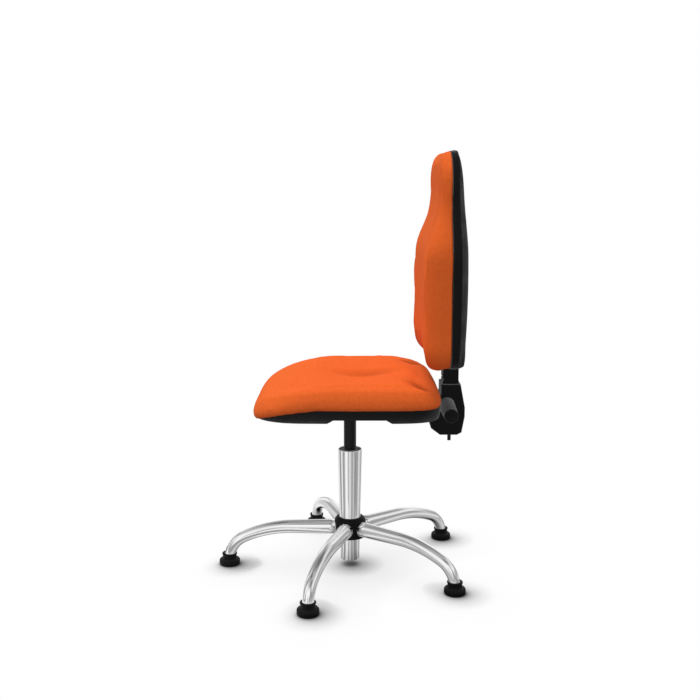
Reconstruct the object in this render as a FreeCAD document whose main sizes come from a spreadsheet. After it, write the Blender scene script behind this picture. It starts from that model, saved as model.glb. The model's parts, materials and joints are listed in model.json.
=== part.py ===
import FreeCAD, Part
import math
import os

import Sketcher

os.makedirs("parts", exist_ok=True)

# The chair faces -Y, +X is the sitter's left, and the origin is on the floor under the swivel axis.
# Driving sizes in millimetres and degrees. Heights are above the floor, Y is along the chair's depth.
SIZES = (
    # Clearances
    ("fit_gap", 0.1, "between pieces that are pressed or screwed together"),
    ("run_gap", 0.05, "all round a shaft that turns or slides in its hole"),
    ("soft_gap", 0.3, "beside foam, and between moulded covers"),
    # Legs
    ("foot_circle", 278, "swivel axis to the middle of a glide"),
    ("leg_height", 90, "axis of the straight run of a leg"),
    ("leg_root_radius", 17, "leg tube at the hub"),
    ("leg_tip_radius", 12, "leg tube at the glide"),
    ("leg_wall", 1.5, "leg tube"),
    ("leg_bend_radius", 260, "long first bend of a leg"),
    ("leg_bend_angle", 25, "turn of the first bend; the second bend turns the rest"),
    # Glides
    ("glide_radius", 23.5, "widest part of a glide"),
    ("glide_neck_radius", 17, "upper part of a glide"),
    ("glide_edge", 4.5, "bevel of the flange"),
    ("glide_flange", 14, "top of the flange"),
    ("glide_height", 27, "top of the neck"),
    ("glide_sole", 12, "underside of the leg tube in the glide"),
    ("stem_radius", 4, "steel stem of a glide"),
    ("stem_bottom", 3, "lower end of a stem"),
    ("stem_top", 28, "upper end of a stem"),
    ("plug_top", 36, "upper end of the plug in a leg tube"),
    # Hub
    ("sleeve_radius", 30, "steel ring that the legs are welded to"),
    ("sleeve_bottom", 72, "underside of the ring"),
    ("sleeve_top", 109, "top of the ring"),
    ("hub_radius", 36.5, "moulded hub cover"),
    ("hub_bottom", 70, "lower rim of the hub cover"),
    ("hub_top", 116, "top of the hub cover"),
    ("hub_shoulder", 12, "bevel round the top of the hub cover"),
    # Column
    ("column_top", 275, "upper rim of the column"),
    ("column_bottom", 15, "lower rim of the column"),
    ("column_top_radius", 27.5, "outside of the upper rim"),
    ("column_foot_radius", 21.5, "outside of the lower rim"),
    ("column_wall", 2, "column tube"),
    ("column_bevel", 2, "rounding of the lower rim"),
    ("floor_rise", 5, "lower rim to the underside of the column's floor"),
    ("floor_thickness", 4, "plate that closes the column"),
    ("bush_length", 95, "plastic bush in the column"),
    ("bush_recess", 1, "top of the bush under the column's rim"),
    # Bearing and piston rod
    ("race_radius", 12, "outside of the bearing rings"),
    ("race_thickness", 2, "each bearing ring"),
    ("ball_radius", 2.5, "bearing ball"),
    ("ball_circle", 9, "circle of the balls"),
    ("cage_thickness", 2.4, "ring that spaces the balls"),
    ("cage_margin", 2.9, "cage either side of the circle of the balls"),
    ("rod_radius", 5, "piston rod"),
    ("rod_tip_radius", 4, "thinner lower end of the rod"),
    ("rod_top", 205, "upper end of the rod"),
    ("clip_radius", 7, "clip under the column's floor"),
    ("clip_thickness", 1.4, "clip"),
    ("clip_bite", 0.7, "depth of the clip's groove"),
    ("rod_tail", 1, "rod below the clip"),
    ("piston_length", 17, "piston on the rod"),
    ("bump_radius", 10, "rubber stop over the bearing"),
    ("bump_length", 7, "rubber stop"),
    # Gas cylinder and its button
    ("gas_radius", 14, "pressure tube"),
    ("gas_wall", 1.5, "pressure tube"),
    ("gas_bottom", 105, "lower end of the pressure tube"),
    ("gas_taper", 45, "length of the tapered top"),
    ("gas_tip_radius", 13.1, "upper end of the taper"),
    ("gas_head", 14, "closed top of the tube"),
    ("gas_drop", 15, "seat plate's top to the tube's top"),
    ("seal_length", 18, "seal in the lower end"),
    ("button_radius", 4, "release button"),
    ("button_rise", 6, "button above the tube"),
    ("button_length", 18, "whole button"),
    ("button_bevel", 1.5, "rounding of the button's head"),
    # Seat plate, socket and arm
    ("plate_top", 403, "top of the steel seat plate"),
    ("plate_thickness", 3, "seat plate"),
    ("plate_half_width", 85, "seat plate"),
    ("plate_front", -80, "front edge of the plate"),
    ("plate_rear", 85, "rear edge of the plate"),
    ("plate_corner", 14, "corner rounding of the plate"),
    ("plate_window", 15, "radius of the hole over the button"),
    ("bolt_half_width", 70, "seat bolts either side of the middle"),
    ("bolt_front", -65, "front pair of seat bolts"),
    ("bolt_rear", 65, "rear pair of seat bolts"),
    ("bolt_radius", 4, "seat bolt"),
    ("bolt_head_radius", 7.5, "corners of the bolt head"),
    ("bolt_head_height", 5.5, "bolt head"),
    ("tee_radius", 5, "barrel of a tee nut"),
    ("tee_flange_radius", 9, "flange of a tee nut"),
    ("tee_flange", 1.5, "flange of a tee nut"),
    ("socket_radius", 20, "outside of the socket for the gas cylinder"),
    ("socket_length", 38, "socket for the gas cylinder"),
    ("arm_half_width", 26, "steel channel under the seat"),
    ("arm_wall", 4, "channel's walls"),
    ("arm_depth", 48, "channel's height"),
    ("arm_front", -40, "front end of the channel"),
    ("web_rear", 150, "rear end of the channel's floor"),
    ("arm_nose", 12, "rounded rear end of the channel's walls"),
    # Height lever
    ("lever_pivot_x", 31, "swivel axis to the lever's pin"),
    ("lever_pivot_drop", 13, "seat plate's top to the lever's pin"),
    ("lever_pin_radius", 2.5, "lever's pin"),
    ("lever_boss_radius", 5.5, "lever's eye"),
    ("lever_half_width", 5, "lever's eye"),
    ("ear_thickness", 3, "ears that hold the lever's pin"),
    ("ear_margin", 3.5, "ear beyond the pin"),
    ("finger_height", 4.5, "finger over the button"),
    ("finger_half_width", 4.5, "finger over the button"),
    ("finger_overhang", 4, "finger past the swivel axis"),
    ("lever_droop", 13, "slope of the lever"),
    ("lever_rod_radius", 4, "lever's rod"),
    ("lever_reach", 190, "swivel axis to the rod's end"),
    ("grip_start", 165, "swivel axis to the grip"),
    ("grip_end", 245, "swivel axis to the grip's end"),
    ("grip_half_width", 14, "grip"),
    ("grip_thickness", 14, "grip"),
    ("grip_round", 5, "rounding of the grip"),
    # Seat board, cushion and pan
    ("board_thickness", 12, "plywood seat board"),
    ("board_half_width", 178, "seat board"),
    ("board_front", -160, "front edge of the board"),
    ("board_rear", 150, "rear edge of the board"),
    ("board_corner", 90, "corner rounding of the board"),
    ("seat_front", -209, "front of the cushion"),
    ("seat_rear", 195, "rear of the cushion"),
    ("seat_half_width", 208, "cushion"),
    ("seat_squareness", 3.2, "how square the front of the cushion's plan is; 2 is an oval"),
    ("seat_rear_squareness", 6, "how square the rear of the cushion's plan is"),
    ("seat_thickness", 39.5, "cushion's crest above the board"),
    ("seat_front_roll", 159, "length of the sloping front"),
    ("seat_front_drop", 45, "drop of the crest over the sloping front"),
    ("seat_nose_roll", 30, "length of the rounded front edge"),
    ("seat_rear_roll", 93, "length of the rounded rear edge"),
    ("seat_side_roll", 32, "width of the rounded side edge"),
    ("seat_bulge", 13, "seam to the widest line of the side"),
    ("seat_tuck", 6, "side drawn in at the seam"),
    ("seat_lip_start", -50, "where the front of the seam starts to bend down"),
    ("seat_lip_length", 154, "length of the bent front"),
    ("seat_lip_drop", 38, "drop of the seam at the front"),
    ("seat_dish", 9, "hollow in the middle"),
    ("seat_dish_y", 15, "middle of the hollow"),
    ("seat_dish_length", 130, "half length of the hollow"),
    ("seat_crown", 3, "crown of the ends"),
    ("pan_depth", 40, "seam to the underside of the pan"),
    ("pan_wall", 3, "moulded pan"),
    ("pan_inset", 6, "pan's rim inside the cushion"),
    ("pan_flare", 34, "pan's rim to its flat underside"),
    ("pan_lip", 6, "depth of the pan at its ends"),
    ("channel_front", -35, "front of the raised band across the pan"),
    ("channel_rear", 75, "rear of the raised band"),
    ("channel_depth", 11, "height of the raised band"),
    ("channel_slope", 13, "sloped sides of the raised band"),
    ("opening_half_width", 95, "opening for the mechanism"),
    ("opening_front", -92, "front of the opening"),
    ("opening_rear", 97, "rear of the opening"),
    ("notch_half_width", 42, "slot for the arm behind the opening"),
    ("screw_radius", 2, "self-tapping screw"),
    ("screw_head_radius", 4, "self-tapping screw"),
    ("screw_head_height", 2.5, "self-tapping screw"),
    ("screw_bite", 8, "screw in the board"),
    ("post_radius", 7, "moulded screw post"),
    ("post_floor", 5, "end of a post under the screw's head"),
    ("pan_screw_x", 135, "pan screws either side of the middle"),
    ("pan_screw_y", 110, "pan screws before and behind the middle"),
    # Back joint
    ("pivot_y", 213.5, "axis of the back joint"),
    ("pivot_drop", 18.6, "seat plate's top to that axis"),
    ("pivot_radius", 5, "pivot bolt"),
    ("pivot_head_radius", 9, "head of the pivot bolt"),
    ("pivot_head", 6, "head of the pivot bolt"),
    ("washer_radius", 13, "friction washer"),
    ("washer_thickness", 1.3, "friction washer"),
    ("plate_wall", 4, "steel of the elbow bracket"),
    ("bracket_front", 16, "bracket in front of the axis"),
    ("bracket_drop", 56, "bracket below the axis"),
    ("bracket_rise", 38, "bracket above the axis"),
    ("bar_half_width", 20, "flat bar up the back"),
    ("bar_front", 8.5, "axis to the front of the bar"),
    ("bar_thickness", 6, "flat bar"),
    ("bar_start", 10, "axis to the bar's lower end"),
    ("bar_length", 326, "flat bar"),
    ("bar_corner", 8, "corner rounding of the bar's top"),
    ("stop_y", 10.3, "axis to the stop screw"),
    ("stop_radius", 4, "stop screw"),
    ("stop_top", 46, "axis down to the screw's upper end"),
    ("stop_bottom", 89.4, "axis down to the screw's lower end"),
    # Elbow covers
    ("cover_half_width", 36, "both covers together, from the middle"),
    ("cover_wall", 2.5, "moulded covers"),
    ("cover_round", 5, "rounding of the covers' outer edges"),
    ("cover_front", 39, "axis to the front of the covers"),
    ("cover_rear", 41, "axis to the rear of the covers"),
    ("cover_drop", 69, "axis to the underside of the covers"),
    ("cover_rise", 45, "axis to the top of the covers' neck"),
    ("throat_rise", 22.5, "axis up to where the neck meets the front"),
    ("brow_drop", 14, "axis down to the upper end of the front"),
    ("chin_drop", 34.5, "axis down to the lower end of the front"),
    ("jaw_front", 33.5, "axis to the bend under the front"),
    ("jaw_drop", 54, "axis down to the bend under the front"),
    ("toe_front", 13.5, "axis to the front end of the flat underside"),
    ("heel_rear", 24.5, "axis to the rear end of the flat underside"),
    ("ankle_rear", 34.5, "axis to the bend behind the underside"),
    ("ankle_drop", 63.5, "axis down to the bend behind the underside"),
    ("calf_drop", 27.5, "axis down to the lower end of the rear"),
    ("nape_drop", 7, "axis down to the upper end of the rear"),
    ("neck_front", 12, "axis to the front of the neck"),
    ("neck_rear", 31, "axis to the rear of the neck"),
    ("lip_drop", 42, "axis to the lower edge of the front opening"),
    ("lip_rise", 18, "axis to the upper edge of the front opening"),
    ("cover_screw_y", 24, "axis back to the cover screws"),
    ("cover_screw_low", 40, "axis down to the lower cover screw"),
    ("cover_screw_high", 18, "axis up to the upper cover screw"),
    ("sleeve_half_width", 24, "moulded sleeve round the bar"),
    ("bar_sleeve_front", 8, "axis to the front of the sleeve"),
    ("bar_sleeve_rear", 27, "axis to the rear of the sleeve"),
    ("bar_sleeve_length", 48, "sleeve above the covers"),
    ("bar_sleeve_wall", 3, "sleeve"),
    ("groove_rise", 10, "groove across the front of the sleeve"),
    ("groove_radius", 2.5, "groove across the front of the sleeve"),
    # Tilt knob
    ("knob_base_radius", 18, "knob beside the covers"),
    ("knob_tip_radius", 15, "knob's free end"),
    ("knob_length", 104, "knob"),
    ("knob_bevel", 3, "rounding of the free end"),
    ("knob_gap", 1, "knob to the cover"),
    ("knob_wall", 3, "end of the knob over the bolt"),
    ("nut_radius", 8.5, "corners of the nut in the knob"),
    ("nut_start", 6, "nut inside the knob"),
    ("nut_length", 8, "nut"),
    # Backrest
    ("back_rise", 83, "seat plate's top to the bottom of the back"),
    ("back_height", 449, "whole back"),
    ("back_low_half_width", 190, "lower part of the back"),
    ("back_high_half_width", 150, "upper part of the back"),
    ("back_step_rise", 225, "bottom of the back to where it starts to narrow"),
    ("back_step_length", 125, "length of the narrowing"),
    ("back_low_front", 152, "front of the lower part"),
    ("back_high_front", 184, "front of the upper part"),
    ("back_seam", 207, "seam between cushion and shell"),
    ("back_lean", 2, "how far the top of the seam leans back"),
    ("back_lean_rise", 264, "bottom of the back to where the lean starts"),
    ("back_low_corner", 45, "bottom corners"),
    ("back_high_corner", 85, "top corners"),
    ("back_side_roll", 24, "width of the rounded side edge"),
    ("back_low_roll", 45, "height of the rounded bottom edge"),
    ("back_low_roll_depth", 28, "how far back the bottom edge rolls"),
    ("back_high_roll", 35, "height of the rounded top edge"),
    ("back_high_roll_depth", 20, "how far back the top edge rolls"),
    ("back_bulge", 8, "seam to the widest line of the side"),
    ("back_tuck", 4, "side drawn in at the seam"),
    ("back_low_hollow", 8, "hollow across the lower part"),
    ("back_high_hollow", 2, "hollow across the upper part"),
    ("panel_margin", 25, "board inside the edge of the back"),
    ("panel_corner", 45, "corners of the board"),
    ("panel_thickness", 8, "plywood back board"),
    ("shell_depth", 40, "deepest part of the rear shell"),
    ("shell_loss", 16, "depth lost towards the top"),
    ("shell_middle", 170, "bottom of the back to the deepest part"),
    ("shell_reach", 250, "distance over which that depth is lost"),
    ("shell_inset", 2, "shell's rim inside the cushion"),
    ("shell_bevel", 42, "sloped border of the shell's rear"),
    ("shell_crown", 5, "crown across the shell's rear"),
    ("shell_wall", 3, "moulded shell"),
    ("shell_slot_half_width", 28, "slot for the bar in the bottom of the shell"),
    ("shell_slot_height", 28, "slot for the bar"),
    ("shell_screw_x", 105, "shell screws either side of the middle"),
    ("shell_screw_low", 80, "bottom of the back to the lower shell screws"),
    ("shell_screw_high", 99, "top of the back to the upper shell screws"),
    ("guide_half_width", 27, "guide block on the bar"),
    ("guide_flange", 45, "half width of the guide's flanges"),
    ("guide_rise", 74, "bottom of the back to the guide"),
    ("guide_length", 120, "guide block"),
    ("guide_wall", 4, "guide block"),
    ("guide_screw_x", 36, "guide screws either side of the middle"),
    ("guide_screw_inset", 20, "guide screws from the block's ends"),
    ("guide_pad_half_width", 12, "friction pad in the guide"),
    ("guide_pad_length", 40, "friction pad"),
    ("guide_pad_depth", 4, "friction pad"),
)

LEG_NAMES = ("front", "left_front", "left_rear", "right_rear", "right_front")
FIRST_LEG_ANGLE = 270
BALL_COUNT = 8
HEX_SIDES = 6

doc = FreeCAD.newDocument("office_chair")
sheet = doc.addObject("Spreadsheet::Sheet", "Dim")
for row, (alias, value, note) in enumerate(SIZES, start=1):
    sheet.set(f"A{row}", str(value))
    sheet.setAlias(f"A{row}", alias)
    sheet.set(f"B{row}", note)
doc.recompute()

# Heights that several pieces share, as formulas on the sheet
PLATE_BOTTOM = "(Dim.plate_top - Dim.plate_thickness)"
BOARD_TOP = "(Dim.plate_top + Dim.board_thickness)"
GAS_TOP = "(Dim.plate_top - Dim.gas_drop)"
ARM_BOTTOM = f"({PLATE_BOTTOM} - Dim.arm_depth)"
SOCKET_BOTTOM = f"({GAS_TOP} - Dim.socket_length)"
LEVER_Z = "(Dim.plate_top - Dim.lever_pivot_drop)"
PIVOT_Z = "(Dim.plate_top - Dim.pivot_drop)"
FLOOR_BOTTOM = "(Dim.column_bottom + Dim.floor_rise)"
FLOOR_TOP = f"({FLOOR_BOTTOM} + Dim.floor_thickness)"
BALLS_TOP = f"({FLOOR_TOP} + Dim.race_thickness + 2 * Dim.ball_radius)"
BEARING_TOP = f"({BALLS_TOP} + Dim.race_thickness)"
ROD_BOTTOM = f"({FLOOR_BOTTOM} - Dim.clip_thickness - 2 * Dim.fit_gap - Dim.rod_tail)"
BACK_BOTTOM = "(Dim.plate_top + Dim.back_rise)"
BACK_TOP = f"({BACK_BOTTOM} + Dim.back_height)"
PANEL_REAR = "(Dim.back_seam - 2 * Dim.soft_gap)"
PANEL_FRONT = f"({PANEL_REAR} - Dim.panel_thickness)"
BAR_FRONT = "(Dim.pivot_y + Dim.bar_front)"
BAR_REAR = f"({BAR_FRONT} + Dim.bar_thickness)"
WASHER_OUT = "(Dim.arm_half_width + Dim.washer_thickness + 2 * Dim.fit_gap)"
BRACKET_OUT = f"({WASHER_OUT} + Dim.plate_wall)"
COVER_TOP = f"({PIVOT_Z} + Dim.cover_rise)"

ALONG = {
    "x": FreeCAD.Rotation(FreeCAD.Vector(0, 1, 0), 90),
    "y": FreeCAD.Rotation(FreeCAD.Vector(1, 0, 0), -90),
    "z": FreeCAD.Rotation(),
}

sub_parts = []


def size(alias):
    """A driving size, read from the sheet."""
    return float(sheet.get(alias))


def keep(item):
    """Count an object among the chair's pieces; its label is the piece's name."""
    sub_parts.append(item)
    return item


def origin_plane(body, role):
    """One of a body's own origin planes."""
    return next(plane for plane in body.Origin.OriginFeatures if plane.Role == role)


def outline(body, name, role, corners):
    """A closed sketch of straight lines; each corner is a pair of formulas."""
    sketch = body.newObject("Sketcher::SketchObject", name)
    sketch.AttachmentSupport = (origin_plane(body, role), [""])
    sketch.MapMode = "FlatFace"
    count = len(corners)
    turns = [2 * math.pi * index / count for index in range(count)]
    points = [FreeCAD.Vector(math.cos(turn), math.sin(turn), 0) for turn in turns]
    for index in range(count):
        sketch.addGeometry(Part.LineSegment(points[index], points[(index + 1) % count]), False)
    for index in range(count):
        sketch.addConstraint(Sketcher.Constraint("Coincident", index, 2, (index + 1) % count, 1))
    for index, corner in enumerate(corners):
        for kind, formula, first in zip(("DistanceX", "DistanceY"), corner, points[index]):
            number = sketch.addConstraint(Sketcher.Constraint(kind, index, 1, first))
            sketch.setExpression(f"Constraints[{number}]", formula)
    return sketch


def hole_circles(body, name, role, circles):
    """A sketch of circles; each is three formulas, for its middle and its radius."""
    sketch = body.newObject("Sketcher::SketchObject", name)
    sketch.AttachmentSupport = (origin_plane(body, role), [""])
    sketch.MapMode = "FlatFace"
    for index, circle in enumerate(circles):
        middle = FreeCAD.Vector(10 * index, 0, 0)
        sketch.addGeometry(Part.Circle(middle, FreeCAD.Vector(0, 0, 1), 1), False)
        constraints = (
            Sketcher.Constraint("DistanceX", index, 3, middle.x),
            Sketcher.Constraint("DistanceY", index, 3, middle.y),
            Sketcher.Constraint("Radius", index, 1),
        )
        for constraint, formula in zip(constraints, circle):
            number = sketch.addConstraint(constraint)
            sketch.setExpression(f"Constraints[{number}]", formula)
    return sketch


def turned(name, corners):
    """A body turned about Z; each corner is a radius and a height."""
    body = doc.addObject("PartDesign::Body", name)
    sketch = outline(body, f"{name}_outline", "XZ_Plane", corners)
    turn = body.newObject("PartDesign::Revolution", f"{name}_turn")
    turn.Profile = sketch
    turn.ReferenceAxis = (sketch, ["V_Axis"])
    turn.Angle = 360
    return body


def padded(name, role, corners, length, start="0", middle=False):
    """A body of one thickness, from start along the plane's normal, or about the plane."""
    body = doc.addObject("PartDesign::Body", name)
    sketch = outline(body, f"{name}_outline", role, corners)
    sketch.setExpression("AttachmentOffset.Base.z", start)
    pad = body.newObject("PartDesign::Pad", f"{name}_pad")
    pad.Profile = sketch
    pad.setExpression("Length", length)
    pad.Midplane = middle
    doc.recompute()
    return body


def pocket(body, sketch, length=None, start="0"):
    """Cut a sketch out of a body: right through both ways, or a length about the sketch."""
    before = body.Shape.Volume
    sketch.setExpression("AttachmentOffset.Base.z", start)
    cut_out = body.newObject("PartDesign::Pocket", f"{sketch.Name}_pocket")
    cut_out.Profile = sketch
    cut_out.Midplane = True
    if length is None:
        cut_out.Type = "ThroughAll"
    else:
        cut_out.setExpression("Length", length)
    doc.recompute()
    if not body.Shape.Volume < before - 1:
        raise RuntimeError(f"{cut_out.Name} cuts nothing")
    return cut_out


def rounded(body, name, radius, wanted):
    """Round the edges of a body's last feature that the wanted function picks."""
    base = body.Tip
    edges = [f"Edge{number}" for number, edge in enumerate(base.Shape.Edges, start=1) if wanted(edge)]
    fillet = body.newObject("PartDesign::Fillet", name)
    fillet.Base = (base, edges)
    fillet.setExpression("Radius", radius)
    doc.recompute()
    return fillet


def runs_along(edge, axis):
    """Whether an edge is a straight line along one axis."""
    if edge.Curve.TypeId != "Part::GeomLine":
        return False
    return abs(abs(getattr(edge.Curve.Direction, axis)) - 1) < 1e-6


def block(name, x, y, z):
    """A box between two formulas along each axis."""
    item = doc.addObject("Part::Box", name)
    for length, axis, ends in (("Length", "x", x), ("Width", "y", y), ("Height", "z", z)):
        item.setExpression(length, f"({ends[1]}) - ({ends[0]})")
        item.setExpression(f"Placement.Base.{axis}", ends[0])
    return item


def round_bar(name, radius, axis, ends, **place):
    """A cylinder along one axis between two formulas; place gives its other coordinates."""
    item = doc.addObject("Part::Cylinder", name)
    item.Placement = FreeCAD.Placement(FreeCAD.Vector(), ALONG[axis])
    item.setExpression("Radius", radius)
    item.setExpression("Height", f"({ends[1]}) - ({ends[0]})")
    item.setExpression(f"Placement.Base.{axis}", ends[0])
    for other, formula in place.items():
        item.setExpression(f"Placement.Base.{other}", formula)
    return item


def joined(name, pieces):
    """Several forms as one solid, or as one group of tools."""
    item = doc.addObject("Part::MultiFuse", name)
    item.Shapes = pieces
    return item


def cut(name, base, tools):
    """One form with others taken out of it."""
    item = doc.addObject("Part::Cut", name)
    item.Base = base
    item.Tool = tools[0] if len(tools) == 1 else joined(f"{name}_tools", tools)
    return item


def made(name, shape, place=None):
    """A piece whose form is a sweep, a loft or a group of like fasteners."""
    item = doc.addObject("Part::Feature", name)
    item.Shape = shape
    item.Placement = place or FreeCAD.Placement()
    return item


def mirrored(value):
    """The formula for the same distance on the other side of the middle."""
    return f"-({value})"


def from_pivot(corners):
    """Corners given from the back joint's axis, as Y and Z formulas."""
    return [(f"Dim.pivot_y + ({y})", f"{PIVOT_Z} + ({z})") for y, z in corners]


def stud(radius, start, end, x, y, axis="z"):
    """A plain round length; x and y place it, with Z in y's place where it runs along Y."""
    if axis == "z":
        return Part.makeCylinder(radius, end - start, FreeCAD.Vector(x, y, start))
    return Part.makeCylinder(radius, end - start, FreeCAD.Vector(x, start, y), FreeCAD.Vector(0, 1, 0))


# Legs, glides and hub

def column_radius(height):
    """Formula for the outside of the column at a height."""
    rise = f"(({height}) - Dim.column_bottom) / (Dim.column_top - Dim.column_bottom)"
    return f"(Dim.column_foot_radius + (Dim.column_top_radius - Dim.column_foot_radius) * {rise})"


def leg_axis():
    """A leg's axis out along X: a level run and two bends that end upright over the glide's sole."""
    height = size("leg_height")
    bend = size("leg_bend_radius")
    turn = math.radians(size("leg_bend_angle"))
    upright = math.pi / 2
    foot = size("foot_circle")
    end = size("glide_sole") + size("fit_gap")
    second = (height - bend * (1 - math.cos(turn)) - end) / math.cos(turn)
    start = foot - bend * math.sin(turn) - second * (1 - math.sin(turn))

    def on_first(angle):
        return FreeCAD.Vector(start + bend * math.sin(angle), 0, height - bend + bend * math.cos(angle))

    def on_second(angle):
        return FreeCAD.Vector(foot - second + second * math.sin(angle), 0, end + second * math.cos(angle))

    root = FreeCAD.Vector(size("sleeve_radius") - size("leg_root_radius") / 2, 0, height)
    run = Part.LineSegment(root, on_first(0)).toShape()
    first_bend = Part.Arc(on_first(0), on_first(turn / 2), on_first(turn)).toShape()
    middle = (turn + upright) / 2
    second_bend = Part.Arc(on_second(turn), on_second(middle), on_second(upright)).toShape()
    return Part.Wire([run, first_bend, second_bend])


def leg_form(extra):
    """The tapered round form of a leg, larger by extra all round."""
    axis = leg_axis()
    root = axis.Vertexes[0].Point
    tip = axis.Vertexes[-1].Point
    pipe = Part.BRepOffsetAPI.MakePipeShell(axis)
    for point, direction, alias in (
        (root, FreeCAD.Vector(1, 0, 0), "leg_root_radius"),
        (tip, FreeCAD.Vector(0, 0, -1), "leg_tip_radius"),
    ):
        pipe.add(Part.Wire(Part.Circle(point, direction, size(alias) + extra).toShape()))
    pipe.build()
    pipe.makeSolid()
    return pipe.shape()


def around(shape, index, count, first=0):
    """A copy of a shape turned to its place in a ring about the swivel axis."""
    copy = shape.copy()
    copy.rotate(FreeCAD.Vector(), FreeCAD.Vector(0, 0, 1), first + 360 * index / count)
    return copy


def build_legs():
    """Five tapered tubes cut to the ring that they are welded to."""
    ring = Part.makeCylinder(size("sleeve_radius") + size("fit_gap"), size("hub_top"))
    tube = leg_form(0).cut(leg_form(-size("leg_wall"))).cut(ring)
    for index, name in enumerate(LEG_NAMES):
        angle = FIRST_LEG_ANGLE + 360 * index / len(LEG_NAMES)
        place = FreeCAD.Placement(FreeCAD.Vector(), FreeCAD.Rotation(FreeCAD.Vector(0, 0, 1), angle))
        keep(made(f"leg_{name}", tube, place))


def build_glides():
    """Five stepped feet on the leg ends, with their stems and the plugs that hold the stems."""
    blank = turned("glide_blank", [
        ("0", "0"),
        ("Dim.glide_radius - Dim.glide_edge", "0"),
        ("Dim.glide_radius", "Dim.glide_edge"),
        ("Dim.glide_radius", "Dim.glide_flange - Dim.glide_edge"),
        ("Dim.glide_neck_radius", "Dim.glide_flange"),
        ("Dim.glide_neck_radius", "Dim.glide_height - Dim.glide_edge / 3"),
        ("Dim.glide_neck_radius - Dim.glide_edge / 3", "Dim.glide_height"),
        ("0", "Dim.glide_height"),
    ])
    blank.setExpression("Placement.Base.x", "Dim.foot_circle")
    doc.recompute()
    foot = size("foot_circle")
    gap = size("fit_gap")
    stem = stud(size("stem_radius"), size("stem_bottom"), size("stem_top"), foot, 0)
    stem_hole = stud(size("stem_radius") + gap, size("stem_bottom"), size("stem_top") + gap, foot, 0)
    glide = blank.Shape.cut(leg_form(gap)).cut(stem_hole)
    bore = leg_form(-size("leg_wall") - gap)
    width = 4 * size("leg_root_radius")
    corner = FreeCAD.Vector(foot - width / 2, -width / 2, size("glide_sole"))
    length = Part.makeBox(width, width, size("plug_top") - size("glide_sole"), corner)
    plug = bore.common(length).cut(stem_hole)
    count = len(LEG_NAMES)
    for index, name in enumerate(LEG_NAMES):
        angle = FIRST_LEG_ANGLE + 360 * index / count
        place = FreeCAD.Placement(FreeCAD.Vector(), FreeCAD.Rotation(FreeCAD.Vector(0, 0, 1), angle))
        keep(made(f"glide_{name}", glide, place))
    for name, shape in (("glide_stems", stem), ("leg_plugs", plug)):
        ring = [around(shape, index, count, FIRST_LEG_ANGLE) for index in range(count)]
        keep(made(name, Part.makeCompound(ring)))


def build_hub():
    """The steel ring on the column, and the moulded cover with a round hole for each leg."""
    keep(turned("hub_sleeve", [
        (f"{column_radius('Dim.sleeve_bottom')} + Dim.fit_gap", "Dim.sleeve_bottom"),
        ("Dim.sleeve_radius", "Dim.sleeve_bottom"),
        ("Dim.sleeve_radius", "Dim.sleeve_top"),
        (f"{column_radius('Dim.sleeve_top')} + Dim.fit_gap", "Dim.sleeve_top"),
    ]))
    inside = "Dim.sleeve_radius + Dim.fit_gap"
    under = "Dim.sleeve_top + Dim.fit_gap"
    blank = turned("hub_cover_blank", [
        (inside, "Dim.hub_bottom"),
        ("Dim.hub_radius", "Dim.hub_bottom"),
        ("Dim.hub_radius", "Dim.hub_top - Dim.hub_shoulder"),
        ("Dim.hub_radius - Dim.hub_shoulder", "Dim.hub_top"),
        (f"{column_radius('Dim.hub_top')} + Dim.fit_gap", "Dim.hub_top"),
        (f"{column_radius(under)} + Dim.fit_gap", under),
        (inside, under),
    ])
    way = leg_form(size("soft_gap"))
    count = len(LEG_NAMES)
    ring = [around(way, index, count, FIRST_LEG_ANGLE) for index in range(count)]
    ways = made("leg_ways", Part.makeCompound(ring))
    keep(cut("hub_cover", blank, [ways]))


# Column, bearing and gas spring

def build_column():
    """The tapered outer tube, the plate in its foot and the bush in its top."""
    bottom = "Dim.column_bottom"
    bevel = f"({bottom} + Dim.column_bevel)"
    top = "Dim.column_top"
    keep(turned("column_tube", [
        (f"{column_radius(bottom)} - Dim.column_wall", bottom),
        (f"{column_radius(bottom)} - Dim.column_wall / 2", bottom),
        (column_radius(bevel), bevel),
        (column_radius(top), top),
        (f"{column_radius(top)} - Dim.column_wall", top),
    ]))
    inside = "- Dim.column_wall - Dim.fit_gap"
    keep(turned("column_floor", [
        ("Dim.rod_tip_radius + Dim.run_gap", FLOOR_BOTTOM),
        (f"{column_radius(FLOOR_BOTTOM)} {inside}", FLOOR_BOTTOM),
        (f"{column_radius(FLOOR_TOP)} {inside}", FLOOR_TOP),
        ("Dim.rod_tip_radius + Dim.run_gap", FLOOR_TOP),
    ]))
    bush_top = f"({top} - Dim.bush_recess)"
    bush_bottom = f"({bush_top} - Dim.bush_length)"
    keep(turned("guide_bush", [
        ("Dim.gas_radius + Dim.run_gap", bush_bottom),
        (f"{column_radius(bush_bottom)} {inside}", bush_bottom),
        (f"{column_radius(bush_top)} {inside}", bush_top),
        ("Dim.gas_radius + Dim.run_gap", bush_top),
    ]))


def flat_ring(name, inner, outer, low, high):
    """A plain ring about the swivel axis."""
    return turned(name, [(inner, low), (outer, low), (outer, high), (inner, high)])


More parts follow.
